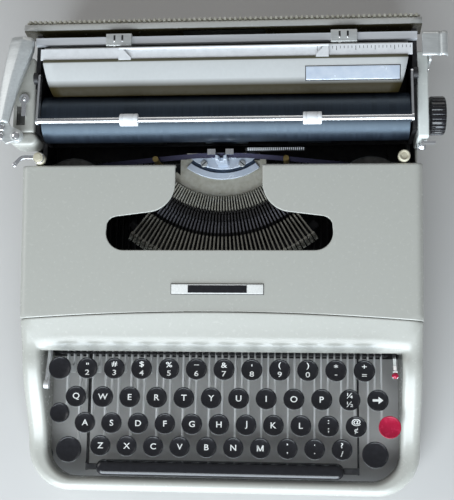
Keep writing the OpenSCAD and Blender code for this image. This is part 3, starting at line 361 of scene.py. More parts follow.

# %% [markdown]
# ## Plastics, rubber and cloth
# Keys and knob are polished black plastic, the tabulator key is red, and the legends and posts are matt and
# pale. The platen is hard rubber with fine lines along its length, so its grain is stretched, and its gloss
# has a painted blue tint, a painted reflection of the window. The ribbon is a dull woven tape, shown by a
# very fine grain with a strong relief.

# %% Plastics, rubber and cloth
PLASTIC_COAT = (0.3, 0.12, 1.5)
BLACK_PLASTIC = finish("key_black", (0.009, 0.009, 0.011), (0.014, 0.014, 0.017), (0.14, 0.22), scale=500.0,
                       relief=0.004, coat=PLASTIC_COAT)
RED_PLASTIC = finish("tabulator_red", (0.36, 0.006, 0.035), (0.46, 0.012, 0.055), (0.18, 0.3))
LEGEND = finish("legend_white", (0.72, 0.72, 0.69), (0.84, 0.84, 0.81), (0.4, 0.55), scale=900.0)
CREAM = finish("cream_plastic", (0.52, 0.48, 0.36), (0.64, 0.60, 0.47), (0.30, 0.42), scale=400.0)
SCALE_WHITE = finish("scale_white", (0.80, 0.82, 0.84), (0.88, 0.90, 0.92), (0.28, 0.4), relief=0.006)
RUBBER = finish("platen_rubber", (0.007, 0.010, 0.016), (0.016, 0.022, 0.034), (0.34, 0.46), scale=900.0,
                stretch=(1, 0.04, 0.04), relief=0.010, speck=((0.04, 0.05, 0.07), 700.0, 0.72))
tune(RUBBER, "Specular IOR Level", 0.8)
# Painted reflection: the rubber's gloss is tinted blue, like the window it mirrors.
tune(RUBBER, "Specular Tint", (0.66, 0.84, 1.0, 1))
INK_TAPE = finish("inked_cloth", (0.010, 0.009, 0.026), (0.034, 0.030, 0.075), (0.7, 0.9), scale=2600.0,
                  relief=0.3)
print("with plastics, rubber and cloth", len(bpy.data.materials))

# %% [markdown]
# ## Metals
# Levers and rails are plain steel with a drawn grain, so their noise is stretched along the piece. Small
# fittings are chromed, the lever and tabs are satin aluminium, and what lies deep inside is dark and oily.
# A full metal mirrors a mostly empty room and turns black, so the paler metals are only partly metallic.
# The typebars are painted darker in rings about the fan's centre, as painted shade of their bends, the rest
# and the slots.

# %% Steels
DRAWN = (1, 0.08, 1)
STEEL_SPECK = ((0.40, 0.37, 0.33), 300.0, 0.74)
# Painted light: the key levers are a paler, less metallic copy of the steel, painted bright, and a zone of
# painted shade turns them almost black behind the lip.
LEVER_SHADE = [band(-1000.0, 932.0, 938.0, (0.02, 0.02, 0.02))]
STEEL = finish("lever_steel", (0.66, 0.66, 0.66), (0.82, 0.82, 0.82), (0.24, 0.40), metal=0.4, scale=500.0,
               stretch=DRAWN, speck=STEEL_SPECK)
LEVER_STEEL_PAINTED_LIGHT = finish("key_lever_steel_painted_light", (0.80, 0.80, 0.79), (0.92, 0.92, 0.91), (0.24, 0.40), metal=0.1,
                     scale=500.0, stretch=DRAWN, speck=STEEL_SPECK, zones=LEVER_SHADE)
CROSS_STEEL = finish("rail_steel", (0.64, 0.66, 0.69), (0.74, 0.76, 0.79), (0.30, 0.42), metal=0.2,
                     scale=500.0, stretch=(0.05, 1, 1), relief=0.03)
DARK_STEEL = finish("dark_steel", (0.018, 0.018, 0.020), (0.040, 0.039, 0.040), (0.35, 0.6), metal=0.35,
                    scale=250.0, relief=0.05, speck=((0.16, 0.15, 0.13), 180.0, 0.72))
SPOOL_STEEL = finish("spool_steel", (0.05, 0.05, 0.047), (0.11, 0.107, 0.10), (0.3, 0.5), metal=0.5,
                     scale=250.0, relief=0.03)
GROOVE_PAINTED_SHADE = finish("groove_painted_shade", (0.028, 0.045, 0.075), (0.055, 0.080, 0.125), (0.3, 0.45), metal=0.3)
FAN_Y = 100.0
# Painted shade: from outside in, a thin dark ring at the rest, grey bars, a darker ring, and nearly black
# bars in the slots.
TYPE_PAINTED_SHADE = [ring_zone(FAN_Y, 84.6, 83.8, (0.012, 0.011, 0.012)),
              ring_zone(FAN_Y, 82.2, 81.4, (0.26, 0.26, 0.29)),
              ring_zone(FAN_Y, 75.0, 72.2, (0.075, 0.072, 0.075)),
              ring_zone(FAN_Y, 67.2, 66.2, (0.010, 0.009, 0.008))]
TYPE_STEEL = finish("type_steel", (0.44, 0.42, 0.35), (0.58, 0.56, 0.48), (0.30, 0.45), metal=0.2,
                    relief=0.03, speck=((0.20, 0.18, 0.13), 220.0, 0.70), zones=TYPE_PAINTED_SHADE)
print("with steels", len(bpy.data.materials))

# %% Bright metals
CHROME = finish("bright_chrome", (0.78, 0.79, 0.81), (0.86, 0.87, 0.88), (0.10, 0.18), metal=0.9,
                scale=250.0, relief=0.004)
SATIN = finish("satin_aluminium", (0.60, 0.62, 0.61), (0.70, 0.72, 0.71), (0.30, 0.42), metal=0.5,
               scale=700.0, stretch=(0.2, 1, 1), relief=0.03)
PALE_ZINC = finish("pale_zinc", (0.44, 0.42, 0.34), (0.58, 0.57, 0.50), (0.35, 0.55), metal=0.2,
                   scale=260.0, relief=0.05, speck=((0.20, 0.17, 0.11), 420.0, 0.68))
# Painted reflection: the plate is bright nickel, and its pale blue is the window mirrored in it, painted into
# the colour.
PLATE_PAINTED_REFLECTION = finish("bright_plate_painted_reflection", (0.62, 0.71, 0.84), (0.74, 0.81, 0.91), (0.18, 0.28), metal=0.25,
                      scale=180.0, relief=0.01)
BRASS = finish("dull_brass", (0.28, 0.20, 0.07), (0.46, 0.36, 0.15), (0.30, 0.48), metal=1.0, scale=350.0)
print("with bright metals", len(bpy.data.materials))

# %% [markdown]
# ## Floor
# The machine stands on something, or it would seem to float. A large plain sheet is enough: it takes the
# shadow and sends a little light back up. It is dull, so that it doesn't mirror the windows.

# %% Floor
FLOOR_HALF = 3.0
FLOOR = finish("pale_floor", (0.58, 0.57, 0.555), (0.61, 0.60, 0.585), (0.6, 0.7), scale=8.0, relief=0.0)
tune(FLOOR, "Specular IOR Level", 0.1)
floor_corners = [(u * FLOOR_HALF, v * FLOOR_HALF, 0) for u, v in ((-1, -1), (1, -1), (1, 1), (-1, 1))]
ground = bpy.data.meshes.new("floor")
ground.from_pydata(floor_corners, [], [(0, 1, 2, 3)])
ground.materials.append(FLOOR)
floor = bpy.data.objects.new("floor", ground)
scene.collection.objects.link(floor)
print("floor", floor.name)

# %% [markdown]
# ## Shape helpers
# Pressed sheet metal is smooth because every edge is rolled. A box with a Bevel modifier rounds every edge
# alike, and a real pressing doesn't. So each big pressing is a grid of points between two outlines seen from
# above. The height of a point comes from the side view, less a round-off that grows as the point nears an
# edge, and corners and edges then round by themselves. Small parts are prisms or turned profiles.

# %% Outlines and distances
def arc(cx, cy, r, start, end, n):
    angles = np.radians(np.linspace(start, end, n + 1))
    return np.stack([cx + r * np.cos(angles), cy + r * np.sin(angles)], 1)


def line(a, b, n):
    return np.linspace(a, b, n + 1)


def loop(*stretches):
    return np.concatenate([stretch[:-1] for stretch in stretches])


def distance(points, path):
    a, b = path[:-1], path[1:]
    along = b - a
    squared = np.maximum((along ** 2).sum(1), 1e-12)
    t = np.clip(((points[:, None] - a) * along).sum(2) / squared, 0, 1)
    return np.sqrt(((points[:, None] - a - t[..., None] * along) ** 2).sum(2)).min(1)


def path_length(path):
    return np.sqrt((np.diff(path, axis=0) ** 2).sum(1))


def resampled(path, shares):
    run = np.concatenate([[0], np.cumsum(path_length(path))])
    at = np.asarray(shares) * run[-1]
    return np.stack([np.interp(at, run, path[:, 0]), np.interp(at, run, path[:, 1])], 1)


def round_off(d, r):
    gap = r - np.clip(d, 0, r)
    return r - np.sqrt(np.maximum(r * r - gap * gap, 0))


print("outline helpers ready")

# %% Grids of points
def spaced(n):
    return (1 - np.cos(np.linspace(0, math.pi, n + 1))) / 2


def between_outlines(inside, outside, steps):
    shares = spaced(steps)[None, :, None]
    return (inside[:, None] + (outside - inside)[:, None] * shares).reshape(-1, 2)


def lifted(plan, height, outline):
    return np.column_stack([plan, height]).reshape(len(outline), -1, 3)


def edge_row(outline, height):
    return np.column_stack([outline, np.broadcast_to(height, len(outline))])[:, None]


def grid_faces(rows, columns, closed=False):
    faces = []
    for i in range(rows if closed else rows - 1):
        near = i * columns
        far = (i + 1) % rows * columns
        faces += [(near + j, near + j + 1, far + j + 1, far + j) for j in range(columns - 1)]
    return faces


def grid(skin, closed=False):
    return skin.reshape(-1, 3), grid_faces(*skin.shape[:2], closed)


def ring_stack(rings, close_low=True):
    count, n = rings.shape[:2]
    faces = grid_faces(count, n)
    faces += [(i * n + n - 1, i * n, (i + 1) * n, (i + 1) * n + n - 1) for i in range(count - 1)]
    if close_low:
        faces.append(tuple(range(n)))
    faces.append(tuple(range((count - 1) * n, count * n)))
    return rings.reshape(-1, 3), faces


print("grid helpers ready")

# %% Prisms
def along_axis(u, v, w, axis):
    return {"x": (w, u, v), "y": (u, w, v), "z": (u, v, w)}[axis]


def prism(outline, low, high, axis="z"):
    n = len(outline)
    points = [along_axis(u, v, w, axis) for w in (low, high) for u, v in outline]
    walls = [(i, (i + 1) % n, n + (i + 1) % n, n + i) for i in range(n)]
    return points, [tuple(range(n)), tuple(range(n, 2 * n))] + walls


def block(low, high):
    (x0, y0, z0), (x1, y1, z1) = low, high
    return prism([(x0, y0), (x1, y0), (x1, y1), (x0, y1)], z0, z1)


print("prism helpers ready")

# %% Turned profiles
ON_AXIS = 1e-6


def turned(profile, n, axis="z", at=(0, 0, 0)):
    angles = [2 * math.pi * k / n for k in range(n)]
    spots, rows, faces = [], [], []
    for r, h in profile:
        start = len(spots)
        if r < ON_AXIS:
            spots.append((0.0, 0.0, h))
            rows.append([start] * n)
        else:
            spots += [(r * math.cos(a), r * math.sin(a), h) for a in angles]
            rows.append(range(start, start + n))
    for near, far in zip(rows, rows[1:]):
        for k in range(n):
            after = (k + 1) % n
            faces.append(tuple(dict.fromkeys((near[k], near[after], far[after], far[k]))))
    return [tuple(np.add(along_axis(*spot, axis), at)) for spot in spots], faces


def joined(parts):
    points, faces = [], []
    for some_points, some_faces in parts:
        faces += [tuple(i + len(points) for i in face) for face in some_faces]
        points += [tuple(p) for p in some_points]
    return points, faces


print("solid helpers ready")

# %% [markdown]
# ## From points to finished pieces
# Every piece is made the same way: points and faces become a mesh with smooth shading and sharp creases, the
# mesh becomes an object with a finish, and the object rides on a body of the CAD model. Sheet gets its
# thickness from a Solidify modifier and small parts a worn edge from a Bevel, so the points stay few.

# %% Meshes
WELD = 1e-6
SLIVER = 1e-7
CREASE = 38.0


def make_mesh(name, points, faces, sharp=CREASE):
    work = bmesh.new()
    corners = [work.verts.new(Vector(p) * MM) for p in points]
    for face in faces:
        if len(set(face)) > 2:
            work.faces.new([corners[i] for i in face])
    bmesh.ops.remove_doubles(work, verts=work.verts, dist=WELD)
    bmesh.ops.dissolve_degenerate(work, edges=work.edges, dist=SLIVER)
    bmesh.ops.recalc_face_normals(work, faces=work.faces)
    mesh = bpy.data.meshes.new(name)
    work.to_mesh(mesh)
    work.free()
    mesh.shade_smooth()
    mesh.set_sharp_from_angle(angle=math.radians(sharp))
    return mesh


print("mesh helper ready, crease", CREASE)

# %% Pieces, walls and edges
BEVEL_FROM = math.radians(35)
# A wall can grow from its sheet to the inside, to both sides or to the outside.
INWARDS = -1
BOTH_WAYS = 0
OUTWARDS = 1


def piece(name, mesh, body, surface, slot, *stands_for):
    made = bpy.data.objects.new(name, mesh)
    scene.collection.objects.link(made)
    if surface:
        mesh.materials.clear()
        mesh.materials.append(surface)
    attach(made, body)
    if stands_for:
        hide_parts(*stands_for)
    return made


def wall(made, thickness, side=INWARDS):
    sheet = made.modifiers.new("wall", "SOLIDIFY")
    sheet.thickness = thickness * MM
    sheet.offset = side
    return made


def soften(made, width, segments=2):
    edges = made.modifiers.new("edges", "BEVEL")
    edges.width = width * MM
    edges.segments = segments
    edges.limit_method = "ANGLE"
    edges.angle_limit = BEVEL_FROM
    return made


print("piece helpers ready")

# %% [markdown]
# ## Front shell
# On the real machine the lower housing is one pressing: a rim round the keys that climbs along both sides,
# and a slope above the number row with a generous rounded lip. It could be a box, cut open and bevelled, but
# the rim's radius changes as it climbs. So it is a ring of points between the key well and the outer
# outline. Its inner and outer edges roll off with their own radii, and walls drop from both outlines.

# %% Sizes and side view of the housing
HALF = 136.0
WELL = 122.5
Y_FRONT = -161.0
Y_WELL = -151.5
Y_LIP = -65.0
Y_PART = -42.0
Y_BAY = 60.0
Y_SHEET = 157.9
RIM_Z = 25.0
LIP_Z = 52.0
SLOPE_Z = 60.0
COVER_Z = 68.0
DECK_Z = 34.0
FOOT_Z = 3.0
RIM_LEVEL = 15.0
SIDE_VIEW = np.linspace(-170, -20, 601)
BEND_SAMPLES = 41
# The seam between shell and hood is a flat arc that sags over the width.
SAG = 5.3
PART_R = (HALF ** 2 + SAG ** 2) / (2 * SAG)


def part_line(n, gap=0.0):
    x = np.linspace(HALF, -HALF, n + 1)
    centre = Y_PART + SAG / 2 - PART_R
    return np.stack([x, centre + np.sqrt((PART_R + gap) ** 2 - x ** 2)], 1)


def cover_z(y):
    return SLOPE_Z + (y - Y_PART) * (COVER_Z - SLOPE_Z) / (Y_BAY - Y_PART)


def shell_z(y):
    start = Y_WELL + RIM_LEVEL
    climb = np.clip((SIDE_VIEW - start) / (Y_LIP - start), 0, 1)
    rim = RIM_Z + (LIP_Z - RIM_Z) * (1 - np.cos(math.pi * climb)) / 2
    slope = LIP_Z + (SIDE_VIEW - Y_LIP) * (SLOPE_Z - LIP_Z) / (Y_PART - Y_LIP)
    rise = np.where(SIDE_VIEW > Y_LIP, slope, rim)
    padded = np.pad(rise, BEND_SAMPLES // 2, "edge")
    return np.interp(y, SIDE_VIEW, np.convolve(padded, np.ones(BEND_SAMPLES) / BEND_SAMPLES, "valid"))


side_end = part_line(2)[0][1]
print("housing", 2 * HALF, "wide, seam radius", round(PART_R, 1))

# %% Outlines of the front shell
SIDE_STEPS = 36
CORNER_STEPS = 18
FRONT_STEPS = 40
REAR_STEPS = 64
RIM_STEPS = 26
OUTER_CORNER = 30.0
WELL_CORNER = 20.0


def housing_outline(half, front, back, corner, rear):
    return loop(line((-half, back), (-half, front + corner), SIDE_STEPS),
                arc(-half + corner, front + corner, corner, 180, 270, CORNER_STEPS),
                line((-half + corner, front), (half - corner, front), FRONT_STEPS),
                arc(half - corner, front + corner, corner, 270, 360, CORNER_STEPS),
                line((half, front + corner), (half, back), SIDE_STEPS), rear)


seam = part_line(REAR_STEPS)
outer = housing_outline(HALF, Y_FRONT, side_end, OUTER_CORNER, seam)
inner = housing_outline(WELL, Y_WELL, Y_LIP, WELL_CORNER, line((WELL, Y_LIP), (-WELL, Y_LIP), REAR_STEPS))
plan = between_outlines(inner, outer, RIM_STEPS)
on_part = np.arange(len(outer)) > len(outer) - REAR_STEPS
rim_edge = outer[:1 - REAR_STEPS]
well_edge = inner[:1 - REAR_STEPS]
lip_edge = inner[-REAR_STEPS:]
print("outline points", len(outer), "grid points", len(plan))

# %% Front shell
SHEET = 1.3
RIM_ROLL = 6.0
WELL_ROLL = 3.4
SEAM_ROLL = 0.7
SEAM_DROP = 2.0
COLLAR_Z = 12.0
LIP_ROLL = 9.0
LIP_TURN = 3.0
# The lip is a little higher at its ends, where the side levers swing up under it.
LIP_END = 106.0
LIP_END_RUN = 8.0
LIP_END_ROLL = 7.6
LIP_END_TURN = 0.2
TURN_END = 108.0
nearness = np.clip((np.abs(plan[:, 0]) - LIP_END) / LIP_END_RUN, 0, 1)
lip_roll = LIP_ROLL - (LIP_ROLL - LIP_END_ROLL) * nearness
lip_turn = np.where(np.abs(inner[:, 0]) > TURN_END, LIP_END_TURN, LIP_TURN)
height = shell_z(plan[:, 1])
for edge, roll in ((rim_edge, RIM_ROLL), (well_edge, WELL_ROLL), (lip_edge, lip_roll), (seam, SEAM_ROLL)):
    height = height - round_off(distance(plan, edge), roll)
top = lifted(plan, height, outer)
foot = np.where(on_part, top[:, -1, 2] - SEAM_DROP, FOOT_Z)
collar = np.where(on_part, top[:, 0, 2] - lip_turn, COLLAR_Z)
skin = np.concatenate([edge_row(inner, collar), top, edge_row(outer, foot)], 1)
front = make_mesh("front_shell", *grid(skin, closed=True), sharp=60)
wall(piece("front_shell", front, "frame", ENAMEL, "enamel", "body_shell"), SHEET)
print("front shell", len(front.polygons), "faces")

# %% [markdown]
# ## Side walls
# Behind the slope two upright sheets close the sides. The hood's skirts hang over them, and behind the hood
# they step down in two rounds to the deck below the carriage. They are flat, so an outline pushed along X is
# all they need.

# %% Side walls behind the slope
SIDE_T = 1.5
SIDE_EDGE = 0.5
SEAT_DROP = 8.3
BAY_GAP = 1.2
BACK_ROUND = 7.0
DECK_ROUND = 8.0
ROUND_STEPS = 6
NOTCH_FRONT = 119.5
NOTCH_REAR = 124.5
NOTCH_Z = 29.5


def side_wall(x0, x1):
    y_back = Y_BAY + BAY_GAP
    seat_front = cover_z(side_end) - SEAT_DROP
    seat_back = cover_z(y_back) - SEAT_DROP
    outline = [(side_end, FOOT_Z), (side_end, seat_front),
               *arc(y_back - BACK_ROUND, seat_back - BACK_ROUND, BACK_ROUND, 90, 0, ROUND_STEPS),
               *arc(y_back + DECK_ROUND, DECK_Z + DECK_ROUND, DECK_ROUND, 180, 270, ROUND_STEPS),
               (NOTCH_FRONT, DECK_Z), (NOTCH_FRONT, NOTCH_Z), (NOTCH_REAR, NOTCH_Z), (NOTCH_REAR, DECK_Z),
               (Y_SHEET, DECK_Z), (Y_SHEET, FOOT_Z)]
    return prism(outline, x0, x1, "x")


sides = make_mesh("side_walls", *joined([side_wall(-HALF, -HALF + SIDE_T), side_wall(HALF - SIDE_T, HALF)]))
soften(piece("side_walls", sides, "frame", ENAMEL, "enamel"), SIDE_EDGE)
print("side walls", len(sides.polygons), "faces")

# %% [markdown]
# ## Ribbon cover
# The hood over the ribbon spools lifts off. Its opening is shaped like a hat: a neck in front of the platen
# flares to a wide brim over the type. A Boolean cut would leave long thin faces that shade badly on a rounded
# sheet. So the grid runs from the opening itself to the outer edges, and the side skirts, the opening's
# turned-down edge and the rear edge are extra rows of the same grid.

# %% Outlines of the hood
NECK = 29.5
Y_NECK = 47.5
HAT = 76.5
Y_HAT = 2.0
FLARE = 20.0
FLARE_END = 262
BRIM_ROUND = 7.5
BRIM_RISE = 15.5
TOE_ROUND = 12.0
Y_SIDE = 17.5
SEAM_GAP = 0.3
FLANK_STEPS = 44
TOE_STEPS = 20
MIRROR = np.array([-1, 1])
flank = np.concatenate([line((NECK, Y_BAY), (NECK, Y_NECK), 4)[:-1],
                        arc(NECK + FLARE, Y_NECK, FLARE, 180, FLARE_END, 20)[:-1],
                        arc(HAT - BRIM_ROUND, Y_HAT + BRIM_RISE, BRIM_ROUND, FLARE_END - 180, 0, 10)])
toe = arc(HAT - TOE_ROUND, Y_HAT + TOE_ROUND, TOE_ROUND, 0, -90, 12)
eased = spaced(2 * FLANK_STEPS)[:FLANK_STEPS + 1] * 2
sill = part_line(REAR_STEPS, SEAM_GAP)
right_hat = np.concatenate([resampled(flank, eased)[:-1], resampled(toe, np.linspace(0, 1, TOE_STEPS + 1))])
right_out = np.concatenate([resampled(line((HALF, Y_BAY), (HALF, Y_SIDE), 1), eased)[:-1],
                            line((HALF, Y_SIDE), (HALF, sill[0][1]), TOE_STEPS)])
hat_front = line((HAT - TOE_ROUND, Y_HAT), (TOE_ROUND - HAT, Y_HAT), REAR_STEPS)
hat_edge = np.concatenate([right_hat, hat_front[1:-1], right_hat[::-1] * MIRROR])
out_edge = np.concatenate([right_out, sill[1:-1], right_out[::-1] * MIRROR])
print("hood outline points", len(hat_edge))

# %% Ribbon cover
HOOD_STEPS = 44
SIDE_ROLL = 5.0
HAT_ROLL = 0.4
REAR_ROLL = 1.6
SKIRT_DROP = 8.0
HAT_TURN = 0.9
REAR_DROP = 5.0
plan = between_outlines(hat_edge, out_edge, HOOD_STEPS)
from_sides = np.minimum(HALF - plan[:, 0], HALF + plan[:, 0])
height = cover_z(plan[:, 1]) - round_off(from_sides, SIDE_ROLL) - round_off(Y_BAY - plan[:, 1], REAR_ROLL)
for edge, roll in ((hat_edge, HAT_ROLL), (sill, SEAM_ROLL)):
    height = height - round_off(distance(plan, edge), roll)
top = lifted(plan, height, hat_edge)
on_sill = np.zeros(len(hat_edge), bool)
on_sill[len(right_out):-len(right_out)] = True
skirt = np.where(on_sill, top[:, -1, 2] - SEAM_DROP, cover_z(out_edge[:, 1]) - SKIRT_DROP)
skin = np.concatenate([edge_row(hat_edge, top[:, 0, 2] - HAT_TURN), top, edge_row(out_edge, skirt)], 1)
rear_drop = skin[[0, -1]].copy()
rear_drop[..., 2] = np.minimum(rear_drop[..., 2], cover_z(Y_BAY) - REAR_DROP)
skin = np.concatenate([rear_drop[:1], skin, rear_drop[1:]])
hood_mesh = make_mesh("hood", *grid(skin), sharp=60)
wall(piece("hood", hood_mesh, "cover", ENAMEL, "enamel", "ribbon_cover"), SHEET)
print("hood", len(hood_mesh.polygons), "faces")

# %% [markdown]
# ## Repeats with Geometry Nodes
# Keys, levers, typebars, teeth and scale marks repeat one shape. A loop could copy the mesh point by point,
# but Geometry Nodes say it once: put a shape on every point of a small cloud, turned by the point's own
# attribute, realize the copies and set their finish. The result is kept as a plain mesh, one for each body,
# because a body moves as a whole and the modifier is no longer needed.

# %% The tree that places copies
REPEAT_INPUTS = {"Places": "NodeSocketGeometry", "Shape": "NodeSocketObject", "Finish": "NodeSocketMaterial",
                 "Size": "NodeSocketFloat"}


def repeat_tree():
    tree = bpy.data.node_groups.new("repeat_shape", "GeometryNodeTree")
    for label, kind in REPEAT_INPUTS.items():
        tree.interface.new_socket(label, in_out="INPUT", socket_type=kind)
    tree.interface.new_socket("Pieces", in_out="OUTPUT", socket_type="NodeSocketGeometry")
    entry = tree.nodes.new("NodeGroupInput")
    leave = tree.nodes.new("NodeGroupOutput")
    source = tree.nodes.new("GeometryNodeObjectInfo")
    heading = tree.nodes.new("GeometryNodeInputNamedAttribute")
    heading.data_type = "FLOAT_VECTOR"
    heading.inputs["Name"].default_value = "heading"
    to_turn = tree.nodes.new("FunctionNodeEulerToRotation")
    copies = tree.nodes.new("GeometryNodeInstanceOnPoints")
    real = tree.nodes.new("GeometryNodeRealizeInstances")
    paint = tree.nodes.new("GeometryNodeSetMaterial")
    tree.links.new(entry.outputs["Places"], copies.inputs["Points"])
    tree.links.new(entry.outputs["Shape"], source.inputs["Object"])
    tree.links.new(source.outputs["Geometry"], copies.inputs["Instance"])
    tree.links.new(heading.outputs[0], to_turn.inputs[0])
    tree.links.new(to_turn.outputs[0], copies.inputs["Rotation"])
    tree.links.new(entry.outputs["Size"], copies.inputs["Scale"])
    tree.links.new(copies.outputs[0], real.inputs[0])
    tree.links.new(real.outputs[0], paint.inputs["Geometry"])
    tree.links.new(entry.outputs["Finish"], paint.inputs["Material"])
    tree.links.new(paint.outputs[0], leave.inputs[0])
    return tree


repeat = repeat_tree()
sockets = {item.name: item.identifier for item in repeat.interface.items_tree if item.in_out == "INPUT"}
print("repeat inputs", sockets)

# %% Copies as one plain mesh
UNTURNED = (0, 0, 0)
TRUE_SIZE = 1.0


def plain_mesh(holder):
    bpy.context.view_layer.update()
    return bpy.data.meshes.new_from_object(holder.evaluated_get(bpy.context.evaluated_depsgraph_get()))


def repeated(name, shape, places, surface, headings=None, sharp=CREASE):
    cloud = bpy.data.meshes.new(name + "_places")
    cloud.from_pydata([tuple(Vector(p) * MM) for p in places], [], [])
    turns = cloud.attributes.new("heading", "FLOAT_VECTOR", "POINT")
    for spot, turn in zip(turns.data, headings or [UNTURNED] * len(places)):
        spot.vector = turn
    model = bpy.data.objects.new(name + "_shape", shape)
    holder = bpy.data.objects.new(name + "_places", cloud)
    scene.collection.objects.link(model)
    scene.collection.objects.link(holder)
    modifier = holder.modifiers.new("repeat", "NODES")
    modifier.node_group = repeat
    modifier[sockets["Shape"]] = model
    modifier[sockets["Finish"]] = surface
    modifier[sockets["Size"]] = TRUE_SIZE
    made = plain_mesh(holder)
    made.name = name
    made.shade_smooth()
    made.set_sharp_from_angle(angle=math.radians(sharp))
    holder.modifiers.remove(modifier)
    bpy.data.objects.remove(holder)
    bpy.data.objects.remove(model)
    return made


print("repeat helper ready")

# %% [markdown]
# ## Keys
# A key is a round black cap with a dished top and a thin raised rim. It sits on a flat steel lever whose
# front end is bent up. A cylinder with a scooped top would need a Boolean, while a turned profile gives the
# dish, the bead and the tapered side in one go. Levers are outlines pushed to the sheet's thickness. Each row
# of keys is one body that dips together, and the key in the middle of the home row has its own body.

# %% Rows of keys
PITCH = 18.4
KEY_R = 7.0
KEY_H = 4.0
ROW_NAMES = ("number_row_keys", "upper_row_keys", "home_row_keys", "lower_row_keys")
NUMBER_ROW, UPPER_ROW, HOME_ROW, LOWER_ROW = range(4)
ROW_Y = (-77.1, -96.0, -113.6, -129.4)
ROW_Z = (59.0, 50.0, 41.0, 32.0)
ROW_START = (4.75, 5.25, 5.0, 4.5)
ROW_COUNT = (11, 11, 11, 10)


def row_x(row):
    return [(i - ROW_START[row]) * PITCH for i in range(ROW_COUNT[row])]


def in_centre(row, x):
    return row == HOME_ROW and abs(x) < PITCH / 2


print("keys in rows", sum(ROW_COUNT))

# %% Shape of a cap
CAP_RIM = 1.0
DISH_DEPTH = 0.95
DISH_RISE = 0.8
DISH_STEPS = 8
BEAD_HALF = 0.55
BEAD_HIGH = 0.3
BEAD_FROM = 0.4
BEAD_TO = 2.6
BEAD_POINTS = 6
CAP_STEPS = 56


def dish(r, rim):
    return KEY_H - DISH_DEPTH + DISH_RISE * (r / rim) ** 2


def cap_mesh(radius):
    rim = radius - CAP_RIM
    hollow = [(rim * k / DISH_STEPS, dish(rim * k / DISH_STEPS, rim)) for k in range(DISH_STEPS + 1)]
    bead = [(rim + BEAD_HALF * (1 - math.cos(a)), KEY_H - BEAD_HIGH * (1 - math.sin(a)))
            for a in np.linspace(BEAD_FROM, BEAD_TO, BEAD_POINTS)]
    side = [(radius - 0.05, KEY_H - 0.75), (radius, KEY_H - 1.4), (radius - 0.12, 1.3), (radius - 0.5, 0.5),
            (radius - 1.3, 0.1), (0, 0.1)]
    return make_mesh("cap", *turned(hollow + bead + side, CAP_STEPS), sharp=50)


cap = cap_mesh(KEY_R)
print("cap", len(cap.polygons), "faces")

# %% Shape of a lever
Y_FULCRUM = 70.0
LEVER_LOW = 16.0
LEVER_HIGH = 21.0
LEVER_T = 1.2
STEM_IN_CAP = 0.3
LEVER_EDGE = 0.12


def lever_outline(y, top):
    stem = top - KEY_H + STEM_IN_CAP
    front = [(y - 2.2, stem), (y - 2.5, stem - 1.5), (y - 2.5, LEVER_LOW + 2), (y - 1.0, LEVER_LOW)]
    rear = [(Y_FULCRUM + 3, LEVER_LOW + 0.3), (Y_FULCRUM + 4.3, LEVER_LOW + 2.5),
            (Y_FULCRUM + 3, LEVER_HIGH - 0.3)]
    bend = [(y + 6.5, LEVER_HIGH), (y + 3.6, LEVER_HIGH + 0.9), (y + 2.5, LEVER_HIGH + 3.0), (y + 2.2, stem)]
    return front + rear + bend


def lever_mesh(y, top):
    return make_mesh("lever", *prism(lever_outline(y, top), -LEVER_T / 2, LEVER_T / 2, "x"), sharp=30)


def place_levers(name, body, shape, lever_xs):
    levers = repeated(name, shape, [(x, 0, 0) for x in lever_xs], LEVER_STEEL_PAINTED_LIGHT)
    soften(piece(name, levers, body, None, "steel"), LEVER_EDGE, segments=1)


for row, name in enumerate(ROW_NAMES):
    spots = [x for x in row_x(row) if not in_centre(row, x)]
    caps = repeated(name + "_caps", cap, [(x, ROW_Y[row], ROW_Z[row] - KEY_H) for x in spots], BLACK_PLASTIC)
    piece(name + "_caps", caps, name, None, "black_plastic", name)
    place_levers(name + "_levers", name, lever_mesh(ROW_Y[row], ROW_Z[row]), spots)
    print(name, len(spots), "keys")

# %% [markdown]
# ## Function keys
# The keys at the ends of the rows have their own sizes and, for the tabulator, another colour. They use the
# same cap and lever shapes with other values. Some caps stand a little beside their levers, as the photograph
# shows, so a key names both places. The two shift keys are tied by a bar and make one body.

# %% Function keys
BACKSPACE_X = 105.8
# Each key is the place of its lever, the place of its cap, its Y, its top and its radius.
FUNCTION = {
    "centre_key": (0.0, 0.0, ROW_Y[HOME_ROW], ROW_Z[HOME_ROW], KEY_R),
    "margin_release_key": (-105.8, -106.1, ROW_Y[NUMBER_ROW], ROW_Z[NUMBER_ROW], 7.5),
    "shift_lock_key": (-110.4, -109.3, ROW_Y[HOME_ROW] + 6.4, ROW_Z[HOME_ROW] + 2, 6.75),
    "backspace_key": (BACKSPACE_X, BACKSPACE_X, ROW_Y[UPPER_ROW], ROW_Z[UPPER_ROW], KEY_R),
    "tab_key": (110.4, 114.2, ROW_Y[HOME_ROW], ROW_Z[HOME_ROW], 7.4),
}
for name, (lever_x, key_x, y, top, radius) in FUNCTION.items():
    red = name == "tab_key"
    shape = repeated(name, cap_mesh(radius), [(key_x, y, top - KEY_H)], RED_PLASTIC if red else BLACK_PLASTIC)
    piece(name + "_cap", shape, name, None, "red_plastic" if red else "black_plastic", name)
    place_levers(name + "_lever", name, lever_mesh(y, top), [lever_x])
print("function keys", len(FUNCTION))

